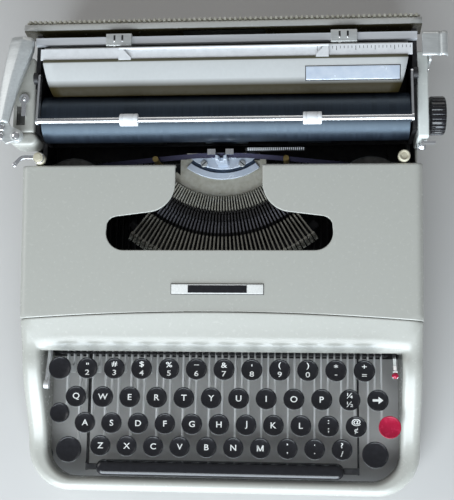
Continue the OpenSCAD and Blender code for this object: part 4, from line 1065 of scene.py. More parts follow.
# %% Shift keys
SIDES = (-1, 1)
SHIFT_R = 8.8
SHIFT_X = 105.0
SHIFT_LEVER_X = 101.2
SHIFT_Y = ROW_Y[LOWER_ROW] - 3
SHIFT_Z = ROW_Z[LOWER_ROW]
TIE_FRONT = 60
TIE_REAR = 64
TIE_LOW = 9
TIE_HIGH = 13
TIE_EAR = 17
TIE_EDGE = 0.4
shift_spots = [(s * SHIFT_X, SHIFT_Y, SHIFT_Z - KEY_H) for s in SIDES]
caps = repeated("shift_caps", cap_mesh(SHIFT_R), shift_spots, BLACK_PLASTIC)
piece("shift_caps", caps, "shift_keys", None, "black_plastic", "shift_keys")
place_levers("shift_levers", "shift_keys", lever_mesh(SHIFT_Y, SHIFT_Z), [s * SHIFT_LEVER_X for s in SIDES])
ties = [block((-SHIFT_LEVER_X, TIE_FRONT, TIE_LOW), (SHIFT_LEVER_X, TIE_REAR, TIE_HIGH))]
for x in (-SHIFT_LEVER_X, SHIFT_LEVER_X):
    ties.append(block((x - LEVER_T / 2, TIE_FRONT, TIE_LOW), (x + LEVER_T / 2, TIE_REAR, TIE_EAR)))
soften(piece("shift_bar", make_mesh("shift_bar", *joined(ties)), "shift_keys", STEEL, "steel"), TIE_EDGE)
print("shift keys", len(shift_spots))

# %% [markdown]
# ## Legends
# The white marks are moulded into the caps, so they follow the dish. A picture could carry them, but it would
# blur close up. Here each mark is a text object made into a mesh and laid on the dished surface by the cap's
# own profile. The arrow and a narrow M are drawn from listed points, as the caps have them. A row's marks are
# one piece.

# %% Marks as meshes
SIGN = {"size": 4.9, "weight": 0.05, "wide": 1.3}
LETTER = {"size": 5.6, "weight": 0.07, "wide": 1.1}
MARK_LIFT = 0.05


def glyph(text, size, weight, wide):
    curve = bpy.data.curves.new("mark", "FONT")
    curve.body = text
    curve.size = size * MM
    curve.offset = weight * MM
    curve.align_x = "CENTER"
    curve.resolution_u = 4
    holder = bpy.data.objects.new("mark", curve)
    scene.collection.objects.link(holder)
    mesh = plain_mesh(holder)
    points = np.array([v.co for v in mesh.vertices]) / MM
    faces = [tuple(f.vertices) for f in mesh.polygons]
    bpy.data.objects.remove(holder)
    bpy.data.meshes.remove(mesh)
    middle = (points.min(0) + points.max(0)) / 2
    return (points - middle) * (wide, 1, 1), faces


def drawn(points, faces):
    return np.array([(x, y, 0) for x, y in points]), faces


def on_cap(shape, x, row, shift=0.0):
    points, faces = shape
    flat = points[:, :2] + (0, shift)
    height = dish(np.sqrt((flat ** 2).sum(1)), KEY_R - CAP_RIM) + MARK_LIFT - KEY_H
    return np.column_stack([flat[:, 0] + x, flat[:, 1] + ROW_Y[row], height + ROW_Z[row]]), faces


ARROW = drawn([(-3.4, -0.8), (0.4, -0.8), (0.4, -2.4), (3.6, 0), (0.4, 2.4), (0.4, 0.8), (-3.4, 0.8)],
              [(0, 1, 5, 6), (2, 3, 4), (1, 2, 5), (2, 4, 5)])
NARROW_M = drawn([(-2.3, -2), (-1.45, -2), (-1.45, 2), (-2.3, 2), (1.45, -2), (2.3, -2), (2.3, 2), (1.45, 2),
                  (-1.45, 0.4), (-0.4, -2), (0.4, -2), (1.45, 0.4)],
                 [(0, 1, 2, 3), (4, 5, 6, 7), (8, 9, 10, 2), (9, 10, 11, 7)])
print("hand-drawn marks", len(ARROW[1]) + len(NARROW_M[1]), "faces")

# %% Legends on the caps
SIGN_SHIFT = 2.8
LEGENDS = (['"2', "#3", "$4", "%5", "_6", "&7", "'8", "(9", ")0", "*-", "+="], [*"QWERTYUIOP", "¼½"],
           [*"ASDFGHJKL", ":;", "@¢"], [*"ZXCVBNM", ",,", "..", "?/"])


def key_marks(text, x, row):
    if len(text) == 2:
        shifts = (SIGN_SHIFT, -SIGN_SHIFT)
        return [on_cap(glyph(symbol, **SIGN), x, row, shift) for symbol, shift in zip(text, shifts)]
    return [on_cap(NARROW_M if text == "M" else glyph(text, **LETTER), x, row)]


def legend_piece(name, body, marks):
    piece(name, make_mesh("legends", *joined(marks)), body, LEGEND, "cream_plastic")


for row, name in enumerate(ROW_NAMES):
    row_marks = []
    centre_marks = []
    for x, text in zip(row_x(row), LEGENDS[row]):
        marks = centre_marks if in_centre(row, x) else row_marks
        marks += key_marks(text, x, row)
    legend_piece(name + "_legends", name, row_marks)
    if centre_marks:
        legend_piece("centre_legend", "centre_key", centre_marks)
    print(name, len(row_marks) + len(centre_marks), "marks")
legend_piece("backspace_legend", "backspace_key", [on_cap(ARROW, BACKSPACE_X, UPPER_ROW)])

# %% [markdown]
# ## Space bar
# The space bar is a long black moulding with round ends, whose edges roll over to a flat top. A stretched
# capsule would be as round along its length as at its ends. So one rounded outline is drawn at several
# heights, inset more and more towards the top, and the rings are joined. Two arms carry it from the rear.

# %% Space bar
SPACE_LEFT = -86.95
SPACE_RIGHT = 84.55
SPACE_FRONT = -150.0
SPACE_REAR = -139.0
SPACE_MIDDLE = (SPACE_FRONT + SPACE_REAR) / 2
SPACE_HALF = (SPACE_REAR - SPACE_FRONT) / 2
END_STEPS = 14
# Each level is the inset of the outline and its height.
SPACE_LEVELS = [(0.9, 22.0), (0.2, 22.5), (0.0, 23.4), (0.0, 24.4), (0.25, 25.6), (0.8, 26.6), (1.6, 27.4),
                (2.6, 27.85), (3.8, 28.0), (5.3, 28.0)]


def capsule(left, right, y, radius, n):
    return np.concatenate([arc(right, y, radius, -90, 90, n), arc(left, y, radius, 90, 270, n)])


def capsule_rings(left, right, y, half, levels, n):
    return np.array([edge_row(capsule(left, right, y, half - inset, n), z)[:, 0] for inset, z in levels])


ends = SPACE_LEFT + SPACE_HALF, SPACE_RIGHT - SPACE_HALF
rings = capsule_rings(*ends, SPACE_MIDDLE, SPACE_HALF, SPACE_LEVELS, END_STEPS)
bar = make_mesh("space_bar", *ring_stack(rings), sharp=50)
piece("space_bar_cap", bar, "space_bar", BLACK_PLASTIC, "black_plastic", "space_bar")
print("space bar", len(bar.polygons), "faces")

# %% Arms of the space bar
ARM_X = 94.3
ARM_TOP = 26.0
CROSS_HALF = 2.0
CROSS_LOW = 18.0
CROSS_HIGH = 22.2
ARM_EDGE = 0.2
arm_outline = lever_outline(SPACE_MIDDLE, ARM_TOP)
arms = [prism(arm_outline, s * ARM_X - LEVER_T / 2, s * ARM_X + LEVER_T / 2, "x") for s in SIDES]
cross_x = ARM_X + LEVER_T / 2
cross_low = (-cross_x, SPACE_MIDDLE - CROSS_HALF, CROSS_LOW)
arms.append(block(cross_low, (cross_x, SPACE_MIDDLE + CROSS_HALF, CROSS_HIGH)))
arms_mesh = make_mesh("space_arms", *joined(arms))
soften(piece("space_bar_arms", arms_mesh, "space_bar", DARK_STEEL, "dark_steel"), ARM_EDGE, segments=1)
print("space bar arms", len(arms_mesh.polygons), "faces")

# %% [markdown]
# ## Paper table and scale
# The paper table is one bent sheet that rises from the platen in a smooth bow and folds into a seat for the
# white scale. Its ends are cut on a slant, so dark gaps show beside the platen. A bent plane would do, but
# the bow has to be the curve of the CAD model, so it is drawn with the same three points of a quadratic
# curve. The sheet gets its thickness from a Solidify modifier.

# %% Paper table
CARRIAGE_X = 3.0
PLATEN_Y = 93.4
PLATEN_Z = 62.0
PLATEN_R = 16.0
TABLE_GAP = 1.7
TABLE_FROM = math.radians(41)
TABLE_BEND = np.array([111.9, 79.8])
TABLE_HIGH = np.array([127.0, 82.2])
TABLE_HALF = 122.5
TABLE_SLANT = 6.0
TABLE_T = 1.1
BOW_STEPS = 24
TABLE_COLUMNS = 32
from_axis = (PLATEN_R + TABLE_GAP) * np.array([math.cos(TABLE_FROM), math.sin(TABLE_FROM)])
table_low = np.array([PLATEN_Y, PLATEN_Z]) + from_axis
t = np.linspace(0, 1, BOW_STEPS + 1)[:, None]
bow = (1 - t) ** 2 * table_low + 2 * t * (1 - t) * TABLE_BEND + t ** 2 * TABLE_HIGH
seat = [(128.9, 82.35), (129.3, 82.2), (129.45, 81.8), (129.5, 80.6), (138.1, 80.6), (138.2, 80.4),
        (138.2, 75.6)]
profile = np.concatenate([bow, seat])
slant = np.interp(np.arange(len(profile)), [0, BOW_STEPS], [TABLE_SLANT, 0.0])
across = np.linspace(-1, 1, TABLE_COLUMNS + 1)
sheet = np.array([[(CARRIAGE_X + u * (TABLE_HALF - cut), y, z) for u in across]
                  for cut, (y, z) in zip(slant, profile)])
table_mesh = make_mesh("paper_table_sheet", *grid(sheet), sharp=40)
table = piece("paper_table_sheet", table_mesh, "carriage", TABLE_ENAMEL_PAINTED_LIGHT, "enamel", "paper_table")
wall(table, TABLE_T, BOTH_WAYS)
print("paper table", len(table_mesh.polygons), "faces")

# %% [markdown]
# ## Scale marks
# The right part of the scale is ruled. The marks could be painted by a shader, but they are few and stand at
# even steps, so two thin blocks are repeated: a short one, and a long one for every fifth mark.

# %% Scale marks
SCALE_Y = 130.0
SCALE_Z = 80.7
MARK_FIRST = 66.0
MARK_PITCH = 2.54
MARKS = 25
LONG_EVERY = 5
MARK_Y = SCALE_Y + 5.4
MARK_Z = SCALE_Z + 1.32
spots = [(MARK_FIRST + k * MARK_PITCH, MARK_Y, MARK_Z) for k in range(MARKS)]
long_spots = spots[::LONG_EVERY]
short_spots = [spot for spot in spots if spot not in long_spots]
short = make_mesh("mark", *block((-0.14, -0.9, -0.02), (0.14, 0.9, 0.03)))
tall = make_mesh("tall_mark", *block((-0.16, -2.1, -0.02), (0.16, 0.9, 0.03)))
for name, shape, places in (("scale_marks", short, short_spots), ("scale_long_marks", tall, long_spots)):
    piece(name, repeated(name, shape, places, DARK_STEEL), "carriage", None, "black_plastic")
print("scale marks", len(short_spots), "short", len(long_spots), "long")

# %% [markdown]
# ## Bail rollers and knob
# A chrome bail bar with two pale rollers holds the paper on the platen. A roller is a turned profile with a
# fine groove near each end, so half of it is written and mirrored. The knob at the right is a fluted
# moulding. Cutting flutes one by one is slow, so its radius is a wave round the platen's axis instead.

# %% Bail rollers
BAIL_Y = 87.2
BAIL_Z = 81.59
ROLLER_R = 4.2
ROLLER_BORE = 2.05
ROLLER_L = 12.4
ROLLER_X = (-65.5, 56.6)
ROLLER_STEPS = 48
half_roller = [(ROLLER_BORE, 0.0), (ROLLER_R - 0.6, 0.0), (ROLLER_R - 0.2, 0.15), (ROLLER_R, 0.6),
               (ROLLER_R, 2.4), (ROLLER_R - 0.25, 2.7), (ROLLER_R, 3.0)]
roller = half_roller + [(r, ROLLER_L - h) for r, h in half_roller[::-1]]
rollers = joined([turned(roller, ROLLER_STEPS, "x", (x, BAIL_Y, BAIL_Z)) for x in ROLLER_X])
roller_mesh = make_mesh("bail_roller_pair", *rollers, sharp=40)
piece("bail_roller_pair", roller_mesh, "bail_rollers", SCALE_WHITE, "chrome", "bail_rollers")
print("bail rollers", len(ROLLER_X))

# %% Knob
KNOB_X = 140.2
KNOB_STEPS = 288
FLUTES = 24
FLUTE_DEPTH = 0.055
FLUTE_SHARP = 1.6
FLUTE_LAND = 0.6
# The plain face, the fluted grip and the recess in the end are three runs of offset along X and radius.
KNOB_FACE = [(0.0, 8.0), (0.2, 11.6)]
KNOB_GRIP = [(0.7, 12.5), (1.6, 13.0), (9.2, 13.0), (10.2, 12.7), (10.8, 12.0)]
KNOB_END = [(11.0, 11.0), (10.7, 10.2), (10.0, 9.6), (9.9, 5.0), (9.9, 1.0)]


def knob_ring(x, r, wave):
    angles = np.linspace(0, 2 * math.pi, KNOB_STEPS, endpoint=False)
    groove = np.clip(np.cos(FLUTES * angles) * FLUTE_SHARP - FLUTE_LAND, 0, 1)
    reach = r * (1 - wave * FLUTE_DEPTH * groove)
    spots = PLATEN_Y + reach * np.cos(angles), PLATEN_Z + reach * np.sin(angles)
    return np.column_stack([np.full(KNOB_STEPS, KNOB_X + x), *spots])


rings = []
for profile, wave in ((KNOB_FACE, 0), (KNOB_GRIP, 1), (KNOB_END, 0)):
    rings += [knob_ring(x, r, wave) for x, r in profile]
knob = make_mesh("knob", *ring_stack(np.array(rings)), sharp=35)
piece("knob", knob, "platen", BLACK_PLASTIC, "black_plastic", "platen_knob")
print("knob", len(knob.polygons), "faces")

# %% [markdown]
# ## Margin stops
# A margin stop is a bent clip that rides on the rail. Two narrow slots with bright catches are punched in its
# top, and a small pointer at the front shows the place on the scale. The clip is one outline pushed along X.
# The slots are so fine that thin dark blocks on the top do for them, as painted shade in the openings, and
# nothing has to be cut.

# %% Margin stops
STOP_W = 17.5
STOP_FRONT = 139.6
STOP_REAR = 148.4
STOP_LOW = 76.1
STOP_TOP = 81.2
STOP_LEG = 1.6
STOP_ROOF = 1.4
STOP_X = {"margin_stop_left": -77.0, "margin_stop_right": 75.0}
SLOT_W = 1.3
SLOT_X = (5.2, 10.6)
SLOT_FRONT = 142.8
SLOT_REAR = 147.0
SLOT_LOW = 81.1
SLOT_HIGH = 81.23
POINTER_LOW = 79.6
POINTER_HIGH = 81.0
CATCH_Y = 142.9
CATCH_Z = 81.3
CATCH_STEPS = 16
STOP_EDGE = 0.3
CATCH = [(0, 0.5), (0.5, 0.35), (0.75, 0.0), (0.75, -0.3), (0, -0.3)]


def clip(x):
    front, rear, top = STOP_FRONT, STOP_REAR, STOP_TOP
    outline = [(front, STOP_LOW), (front, top - 0.8), (front + 0.25, top - 0.25), (front + 0.8, top),
               (rear - 0.8, top), (rear - 0.25, top - 0.25), (rear, top - 0.8), (rear, STOP_LOW),
               (rear - STOP_LEG, STOP_LOW), (rear - STOP_LEG, top - STOP_ROOF),
               (front + STOP_LEG, top - STOP_ROOF), (front + STOP_LEG, STOP_LOW)]
    pointer = [(x + 4.6, front + 0.3), (x + 6.0, front - 1.3), (x + 7.4, front + 0.3)]
    return joined([prism(outline, x, x + STOP_W, "x"), prism(pointer, POINTER_LOW, POINTER_HIGH)])


for name, x in STOP_X.items():
    soften(piece(name + "_clip", make_mesh(name, *clip(x)), name, SATIN, "steel", name), STOP_EDGE)
    # Painted shade: thin dark blocks stand for the shade in the punched slots.
    slots = [block((x + at, SLOT_FRONT, SLOT_LOW), (x + at + SLOT_W, SLOT_REAR, SLOT_HIGH)) for at in SLOT_X]
    piece(name + "_slots", make_mesh(name, *joined(slots)), name, DARK_STEEL, "dark_steel")
    catches = [turned(CATCH, CATCH_STEPS, "z", (x + at + SLOT_W / 2, CATCH_Y, CATCH_Z)) for at in SLOT_X]
    piece(name + "_catches", make_mesh(name, *joined(catches), sharp=60), name, CHROME, "chrome")
print("margin stops", len(STOP_X))

# %% [markdown]
# ## Carriage return lever
# The lever is a long tapered channel, folded along a crease so that it stays stiff, with a closed rounded tip
# that the finger meets. A bevelled box has no crease that wanders, so sections across the channel are lofted
# from the tip to the hub. A flat arm then carries it to its pivot on the nose of the left end.

# %% Channel of the return lever
CHANNEL_LOW = 81.0
CHANNEL_T = 0.9
CHANNEL_STEPS = 41
TIP_RUN = 0.25
TIP_HIGH = 84.0
# Each station is its place along Y, then the left edge, the crease, the right edge and the top.
STATIONS = np.array([(145.0, -139.6, -132.4, -128.2, 86.2), (144.2, -140.6, -132.2, -127.0, 88.6),
                     (142.0, -141.0, -132.0, -126.4, 89.6), (136.0, -142.2, -133.4, -127.0, 89.8),
                     (128.0, -143.8, -135.4, -129.4, 89.6), (118.0, -145.6, -138.2, -133.2, 88.9),
                     (106.0, -147.6, -141.2, -137.4, 87.6), (95.0, -149.2, -143.6, -140.2, 86.2),
                     (86.0, -150.4, -145.4, -142.2, 85.0)])


def channel(y, left, crease, right, top):
    left_side = [(left, y, CHANNEL_LOW), (left, y, top - 3.4), (left + 0.35, y, top - 2.5),
                 (left + 1.1, y, top - 2.0)]
    ridge = [(crease - 0.7, y, top - 0.12), (crease, y, top), (crease + 0.6, y, top - 0.3)]
    right_side = [(right - 1.0, y, top - 2.6), (right - 0.3, y, top - 3.1), (right, y, top - 3.9),
                  (right, y, CHANNEL_LOW)]
    return left_side + ridge + right_side


def between_stations(n):
    at = np.linspace(0, len(STATIONS) - 1, n)
    return np.stack([np.interp(at, range(len(STATIONS)), column) for column in STATIONS.T], 1)


sections = [channel(*station) for station in between_stations(CHANNEL_STEPS)]
tip = [(x, y + TIP_RUN, min(z, TIP_HIGH)) for x, y, z in sections[0]]
points, faces = grid(np.array([tip] + sections))
channel_mesh = make_mesh("return_channel", points, faces + [tuple(range(len(tip)))], sharp=42)
folded = piece("return_channel", channel_mesh, "return_lever", SATIN, "chrome", "return_lever")
wall(folded, CHANNEL_T, BOTH_WAYS)
print("return lever", len(channel_mesh.polygons), "faces")

# %% Arm, washer and studs of the return lever
HUB_X = -136
HUB_Y = 77
HUB_R = 4.6
ARM_LOW = 80.0
ARM_HIGH = 82.4
RETURN_EDGE = 0.35
WASHER_Z = 82.3
WASHER_STEPS = 32
STUD_STEPS = 28
STUD_SPOTS = ((-146.2, 82.6, 82.2), (-146.8, 76.6, 82.2))
STUD = [(0, 2.2), (1.9, 2.0), (2.5, 1.4), (2.5, 0.0), (0, 0.0)]
WASHER = [(2.6, 0.0), (3.9, 0.0), (3.9, 0.9), (3.5, 1.3), (2.6, 1.3)]
hub_arm = [(-150.4, 88.0), (-151.0, 82.0), (-149.5, 77.0), (-143.0, 71.6),
           *arc(HUB_X, HUB_Y, HUB_R, 240, 420, 12), (-140.4, 84.0), (-142.3, 88.0)]
arm = joined([prism(hub_arm, ARM_LOW, ARM_HIGH), turned(WASHER, WASHER_STEPS, "z", (HUB_X, HUB_Y, WASHER_Z))])
arm_mesh = make_mesh("return_arm", *arm, sharp=40)
soften(piece("return_arm", arm_mesh, "return_lever", SATIN, "chrome"), RETURN_EDGE)
studs = joined([turned(STUD, STUD_STEPS, "z", at) for at in STUD_SPOTS])
piece("return_studs", make_mesh("return_studs", *studs, sharp=50), "return_lever", CHROME, "chrome")
print("return lever studs", len(STUD_SPOTS))

# %% [markdown]
# ## Left end of the carriage
# A painted cover closes the left end. It has a window over the line-space ratchet, and a rounded nose in
# front of it carries the return lever. A Boolean window would spoil the rolled edge, so the top is a ring of
# points between the window and the outline, like the front shell. The nose is a stack of rounded rings.

# %% Left end cover
COVER_LEFT = -141
COVER_RIGHT = -126
COVER_FRONT = 81
COVER_REAR = 134
COVER_ROUND = 4
COVER_SLANT_X = -137
COVER_SLANT_Y = 126
COVER_TOP = 76.5
COVER_LOW = 48.0
COVER_ROLL = 1.8
COVER_T = 1.0
WINDOW_LEFT = -138.2
WINDOW_RIGHT = -132.2
WINDOW_FRONT = 86
WINDOW_REAR = 99.4
WINDOW_TURN = 74.6
# Both loops have the same number of points, so each point of the window has its partner outside.
round_x = COVER_RIGHT - COVER_ROUND
round_y = COVER_REAR - COVER_ROUND
outline = loop(line((COVER_LEFT, COVER_FRONT), (COVER_RIGHT, COVER_FRONT), 12),
               line((COVER_RIGHT, COVER_FRONT), (COVER_RIGHT, round_y), 20),
               arc(round_x, round_y, COVER_ROUND, 0, 90, 6),
               line((round_x, COVER_REAR), (COVER_SLANT_X, COVER_REAR), 6),
               line((COVER_SLANT_X, COVER_REAR), (COVER_LEFT, COVER_SLANT_Y), 6),
               line((COVER_LEFT, COVER_SLANT_Y), (COVER_LEFT, COVER_FRONT), 16))
window = loop(line((WINDOW_LEFT, WINDOW_FRONT), (WINDOW_RIGHT, WINDOW_FRONT), 12),
              line((WINDOW_RIGHT, WINDOW_FRONT), (WINDOW_RIGHT, WINDOW_REAR), 26),
              line((WINDOW_RIGHT, WINDOW_REAR), (WINDOW_LEFT, WINDOW_REAR), 12),
              line((WINDOW_LEFT, WINDOW_REAR), (WINDOW_LEFT, WINDOW_FRONT), 16))
plan = between_outlines(window, outline, 10)
height = COVER_TOP - round_off(distance(plan, np.vstack([outline, outline[:1]])), COVER_ROLL)
top = lifted(plan, height, outline)
skin = np.concatenate([edge_row(window, WINDOW_TURN), top, edge_row(outline, COVER_LOW)], 1)
cover_mesh = make_mesh("left_cover", *grid(skin, closed=True), sharp=45)
wall(piece("left_cover", cover_mesh, "carriage", ENAMEL, "enamel", "left_end_cover"), COVER_T)
print("left end cover", len(cover_mesh.polygons), "faces")

# %% Nose, pins and a dark plate of painted shade in the window
NOSE_LEFT = -138.6
NOSE_RIGHT = -128.4
NOSE_Y = 76.75
NOSE_R = 4.4
NOSE_LEVELS = [(0.0, 58.0), (0.0, 73.6), (0.25, 74.9), (0.9, 75.7), (1.9, 76.0), (3.2, 76.05)]
PIN = [(0, 84.6), (1.6, 84.5), (2.4, 84.0), (2.45, 76.0), (0, 76.0)]
SELECTOR_POST = [(0, 78.9), (1.0, 78.8), (1.45, 78.3), (1.45, 75.6), (0, 75.6)]
SELECTOR_AT = (-133, 104, 0)
NOSE_STEPS = 12
PIN_STEPS = 28
SELECTOR_STEPS = 24
SHADE_LOW = (-139.6, 84, 48.2)
SHADE_HIGH = (-131, 102, 49.6)
rings = capsule_rings(NOSE_LEFT, NOSE_RIGHT, NOSE_Y, NOSE_R, NOSE_LEVELS, NOSE_STEPS)
nose_mesh = make_mesh("nose", *ring_stack(rings, close_low=False), sharp=45)
piece("nose", nose_mesh, "carriage", ENAMEL, "enamel")
pin = make_mesh("lever_pin", *turned(PIN, PIN_STEPS, "z", (HUB_X, HUB_Y, 0)), sharp=50)
piece("lever_pin", pin, "carriage", CHROME, "chrome")
post = make_mesh("selector_post", *turned(SELECTOR_POST, SELECTOR_STEPS, "z", SELECTOR_AT), sharp=50)
piece("selector_post", post, "carriage", CHROME, "chrome")
# Painted shade: a dark plate low in the window stands for the shade inside the end cover.
shade = make_mesh("ratchet_shade", *block(SHADE_LOW, SHADE_HIGH))
piece("ratchet_shade", shade, "carriage", DARK_STEEL, "dark_steel")
print("nose", len(nose_mesh.polygons), "faces")

# %% [markdown]
# ## Right end of the carriage
# The right end is a narrow pressed strip with rolled edges, whose outline is pushed along X and softened. The
# paper release above it is a flat satin tab with its outer edge rolled into a finger grip behind a fold. That
# fold is a wavy line in the front view, so the tab is the line drawn along Y as a sheet.

# %% Right end strip
STRIP_LEFT = 132.0
STRIP_RIGHT = 139.0
STRIP_LOW = 46.0
STRIP_TOP = 77.0
STRIP_FRONT = 75.0
STRIP_REAR = 134.0
STRIP_EDGE = 0.9
STRIP_EDGE_STEPS = 3
half_strip = [(0.0, STRIP_LOW), (0.0, STRIP_TOP - 1.8), (0.5, STRIP_TOP - 0.5), (1.8, STRIP_TOP)]
strip = [(STRIP_FRONT + in_y, z) for in_y, z in half_strip]
strip += [(STRIP_REAR - in_y, z) for in_y, z in half_strip[::-1]]
strip_mesh = make_mesh("right_strip", *prism(strip, STRIP_LEFT, STRIP_RIGHT, "x"), sharp=40)
# Painted highlight: the strip's enamel is painted paler than the grey.
end_strip = piece("right_strip", strip_mesh, "carriage", PAINTED_HIGHLIGHT_ENAMEL, "enamel", "right_end_plate")
soften(end_strip, STRIP_EDGE, STRIP_EDGE_STEPS)
print("right end strip", STRIP_RIGHT - STRIP_LEFT, "wide")

# %% Lugs and pins of the right end
LUG_X = (132.6, 137.2)
LUG_T = 1.2
LUG_FRONT = 70.7
LUG_REAR = 75.6
LUG_LOW = 58.2
LUG_HIGH = 61.8
FRONT_PIN = [(1.45, 133.0), (1.45, 138.0)]
FRONT_PIN_AT = (0, 72.5, 60.0)
FRONT_PIN_STEPS = 20
REAR_PIN = [(2.4, 138.6), (2.4, 141.6), (1.8, 142.0), (0, 142.0)]
REAR_PIN_AT = (0, 128.0, 58.0)
REAR_PIN_STEPS = 24
end_parts = [block((x, LUG_FRONT, LUG_LOW), (x + LUG_T, LUG_REAR, LUG_HIGH)) for x in LUG_X]
end_parts.append(turned(FRONT_PIN, FRONT_PIN_STEPS, "x", FRONT_PIN_AT))
end_parts.append(turned(REAR_PIN, REAR_PIN_STEPS, "x", REAR_PIN_AT))
piece("right_pins", make_mesh("right_pins", *joined(end_parts)), "carriage", CHROME, "chrome")
print("lugs and pins", len(end_parts))

# %% Paper release
RELEASE_T = 0.9
RELEASE_FRONT = 128.6
RELEASE_REAR = 145.0
RELEASE_ROWS = 8
RELEASE_EDGE = 0.3
SHANK_LEFT = 139.3
SHANK_RIGHT = 140.8
GRIP = [(135.0, 82.0), (135.3, 82.4), (144.6, 82.4), (145.6, 82.1), (146.2, 81.5), (146.9, 81.6),
        (147.4, 82.3), (148.2, 82.8), (149.6, 82.7), (150.7, 82.0), (151.2, 80.8), (151.2, 79.6)]
rows = np.linspace(RELEASE_FRONT, RELEASE_REAR, RELEASE_ROWS + 1)
pad_mesh = make_mesh("release_pad", *grid(np.array([[(x, y, z) for x, z in GRIP] for y in rows])), sharp=50)
pad = piece("release_pad", pad_mesh, "paper_release_lever", SATIN, "chrome", "paper_release_lever")
wall(pad, RELEASE_T, BOTH_WAYS)
shank = [(125.2, 58.0), (125.2, 80.4), (126.4, 81.6), (131.0, 81.7), (131.0, 58.0),
         *arc(128, 58, 4.6, 0, -180, 10)]
shank_mesh = make_mesh("release_shank", *prism(shank, SHANK_LEFT, SHANK_RIGHT, "x"))
soften(piece("release_shank", shank_mesh, "paper_release_lever", SATIN, "chrome"), RELEASE_EDGE)
print("paper release", len(pad_mesh.polygons), "faces")

# %% [markdown]
# ## Rear panel
# Behind the carriage a bent sheet stands the width of the machine. Its top is a smooth roll that catches the
# light, and a slanted apron hangs from it towards the carriage, with a long window. The panel is its side
# view drawn along X as a sheet. The window is simply left out of the grid, so nothing has to be cut.

# %% Rear panel
PANEL_Y = 158.7
PANEL_T = 1.2
ROLL_R = 2.5
ROLL_Z = 71.9
WINDOW_X = (-26.0, 31.0)
APRON = [(155.2, 74.36), (154.5, 74.1), (154.0, 73.5), (153.6, 71.4), (152.2, 63.5), (151.9, 61.4)]
END_COLUMNS = 12
WINDOW_COLUMNS = 8
upright = [(PANEL_Y, FOOT_Z), (PANEL_Y, 40.0), (PANEL_Y, 70.0)]
side_view = np.concatenate([upright, arc(PANEL_Y - ROLL_R, ROLL_Z, ROLL_R, 0, 100, 10), APRON])
columns = np.concatenate([line(-HALF, WINDOW_X[0], END_COLUMNS), line(*WINDOW_X, WINDOW_COLUMNS)[1:],
                          line(WINDOW_X[1], HALF, END_COLUMNS)[1:]])
points, faces = grid(np.array([[(x, y, z) for x in columns] for y, z in side_view]))
window_row = (len(side_view) - 3) * (len(columns) - 1)
in_window = range(window_row + END_COLUMNS, window_row + END_COLUMNS + WINDOW_COLUMNS)
faces = [face for k, face in enumerate(faces) if k not in in_window]
panel_mesh = make_mesh("back_panel", points, faces, sharp=50)
wall(piece("back_panel", panel_mesh, "frame", PANEL_ENAMEL_PAINTED_LIGHT, "enamel", "rear_panel"), PANEL_T, BOTH_WAYS)
print("rear panel", len(panel_mesh.polygons), "faces")

# %% [markdown]
# ## Type basket
# The typebars lie in a fan, each in its own slot of the pale segment. A bar is stamped from sheet, with steps
# along its top edge and a slug of type brazed to its end. Modelling every bar would be the same work over
# and over, so one shape is copied round the arc by the repeat tree. The bar in the middle is the same shape
# on its own body, because it is the one that swings.

# %% Shape of a typebar
BAR_END = 46.16
BAR_HALF = 0.5
SLUG_TILT = -37.34
SLUG_LOW = (-1.15, 0, -3.5)
SLUG_HIGH = (1.15, 2.2, 3.5)
TYPE_Z = 1.9
TYPE_TALL = 1.0
TYPE_WIDE = 0.8
TYPE_FACE = -0.35
TYPE_ROOT = 0.1
BAR_TOP = [(-2.6, -1.0), (-2.3, 1.0), (-1.0, 1.9), (6.2, 1.9), (6.8, 0.3), (8.4, 0.3), (9.0, 2.0),
           (13.0, 2.0), (13.6, 0.5), (15.8, 0.5), (16.4, 1.9), (23.4, 1.9), (23.7, 0.9), (24.5, 0.9),
           (24.8, 1.9), (BAR_END - 1.5, 1.8)]
BAR_UNDER = [(-BAR_END + 1.0, -1.6), (2.0, -1.8)]


def slug():
    tilt = Matrix.Rotation(math.radians(SLUG_TILT), 4, "X")
    solid = [block(SLUG_LOW, SLUG_HIGH)]
    for z in (-TYPE_Z, TYPE_Z):
        solid.append(block((-TYPE_WIDE, TYPE_FACE, z - TYPE_TALL), (TYPE_WIDE, TYPE_ROOT, z + TYPE_TALL)))
    points, faces = joined(solid)
    return [tuple(tilt @ Vector(p) + Vector((0, -BAR_END, 0))) for p in points], faces


bar_outline = [(-r, z) for r, z in BAR_TOP] + BAR_UNDER
bar_shape = make_mesh("typebar", *joined([prism(bar_outline, -BAR_HALF, BAR_HALF, "x"), slug()]), sharp=30)
print("typebar", len(bar_shape.polygons), "faces")

# %% Fan of typebars
PIVOT_R = 60.0
PIVOT_Z = 34.0
BAR_STEP = 1.8
BARS_EACH_SIDE = 21
turns = [math.radians(i * BAR_STEP) for i in range(-BARS_EACH_SIDE, BARS_EACH_SIDE + 1) if i]


def pivot(turn):
    return PIVOT_R * math.sin(turn), FAN_Y - PIVOT_R * math.cos(turn), PIVOT_Z


pivots = [pivot(a) for a in turns]
fan = repeated("typebar_fan", bar_shape, pivots, TYPE_STEEL, [(0, 0, a) for a in turns], sharp=30)
piece("typebar_fan", fan, "frame", None, "steel", "typebars")
middle_bar = repeated("middle_typebar", bar_shape, [pivot(0.0)], TYPE_STEEL, sharp=30)
piece("middle_typebar", middle_bar, "centre_typebar", None, "steel", "centre_typebar")
print("typebars", len(turns) + 1)

# %% [markdown]
# ## Segment plate
# Behind the slots a bright plate covers the segment; its pale blue is a painted reflection of the window. It
# has a raised ring, a groove painted dark blue as painted shade, and an inner disc held by two slotted
# screws.
# Each is cut from sheet on the real machine. A lathe profile would make full rings, so the sectors are
# outlines of arcs about the middle of the fan, pushed up to their own heights.

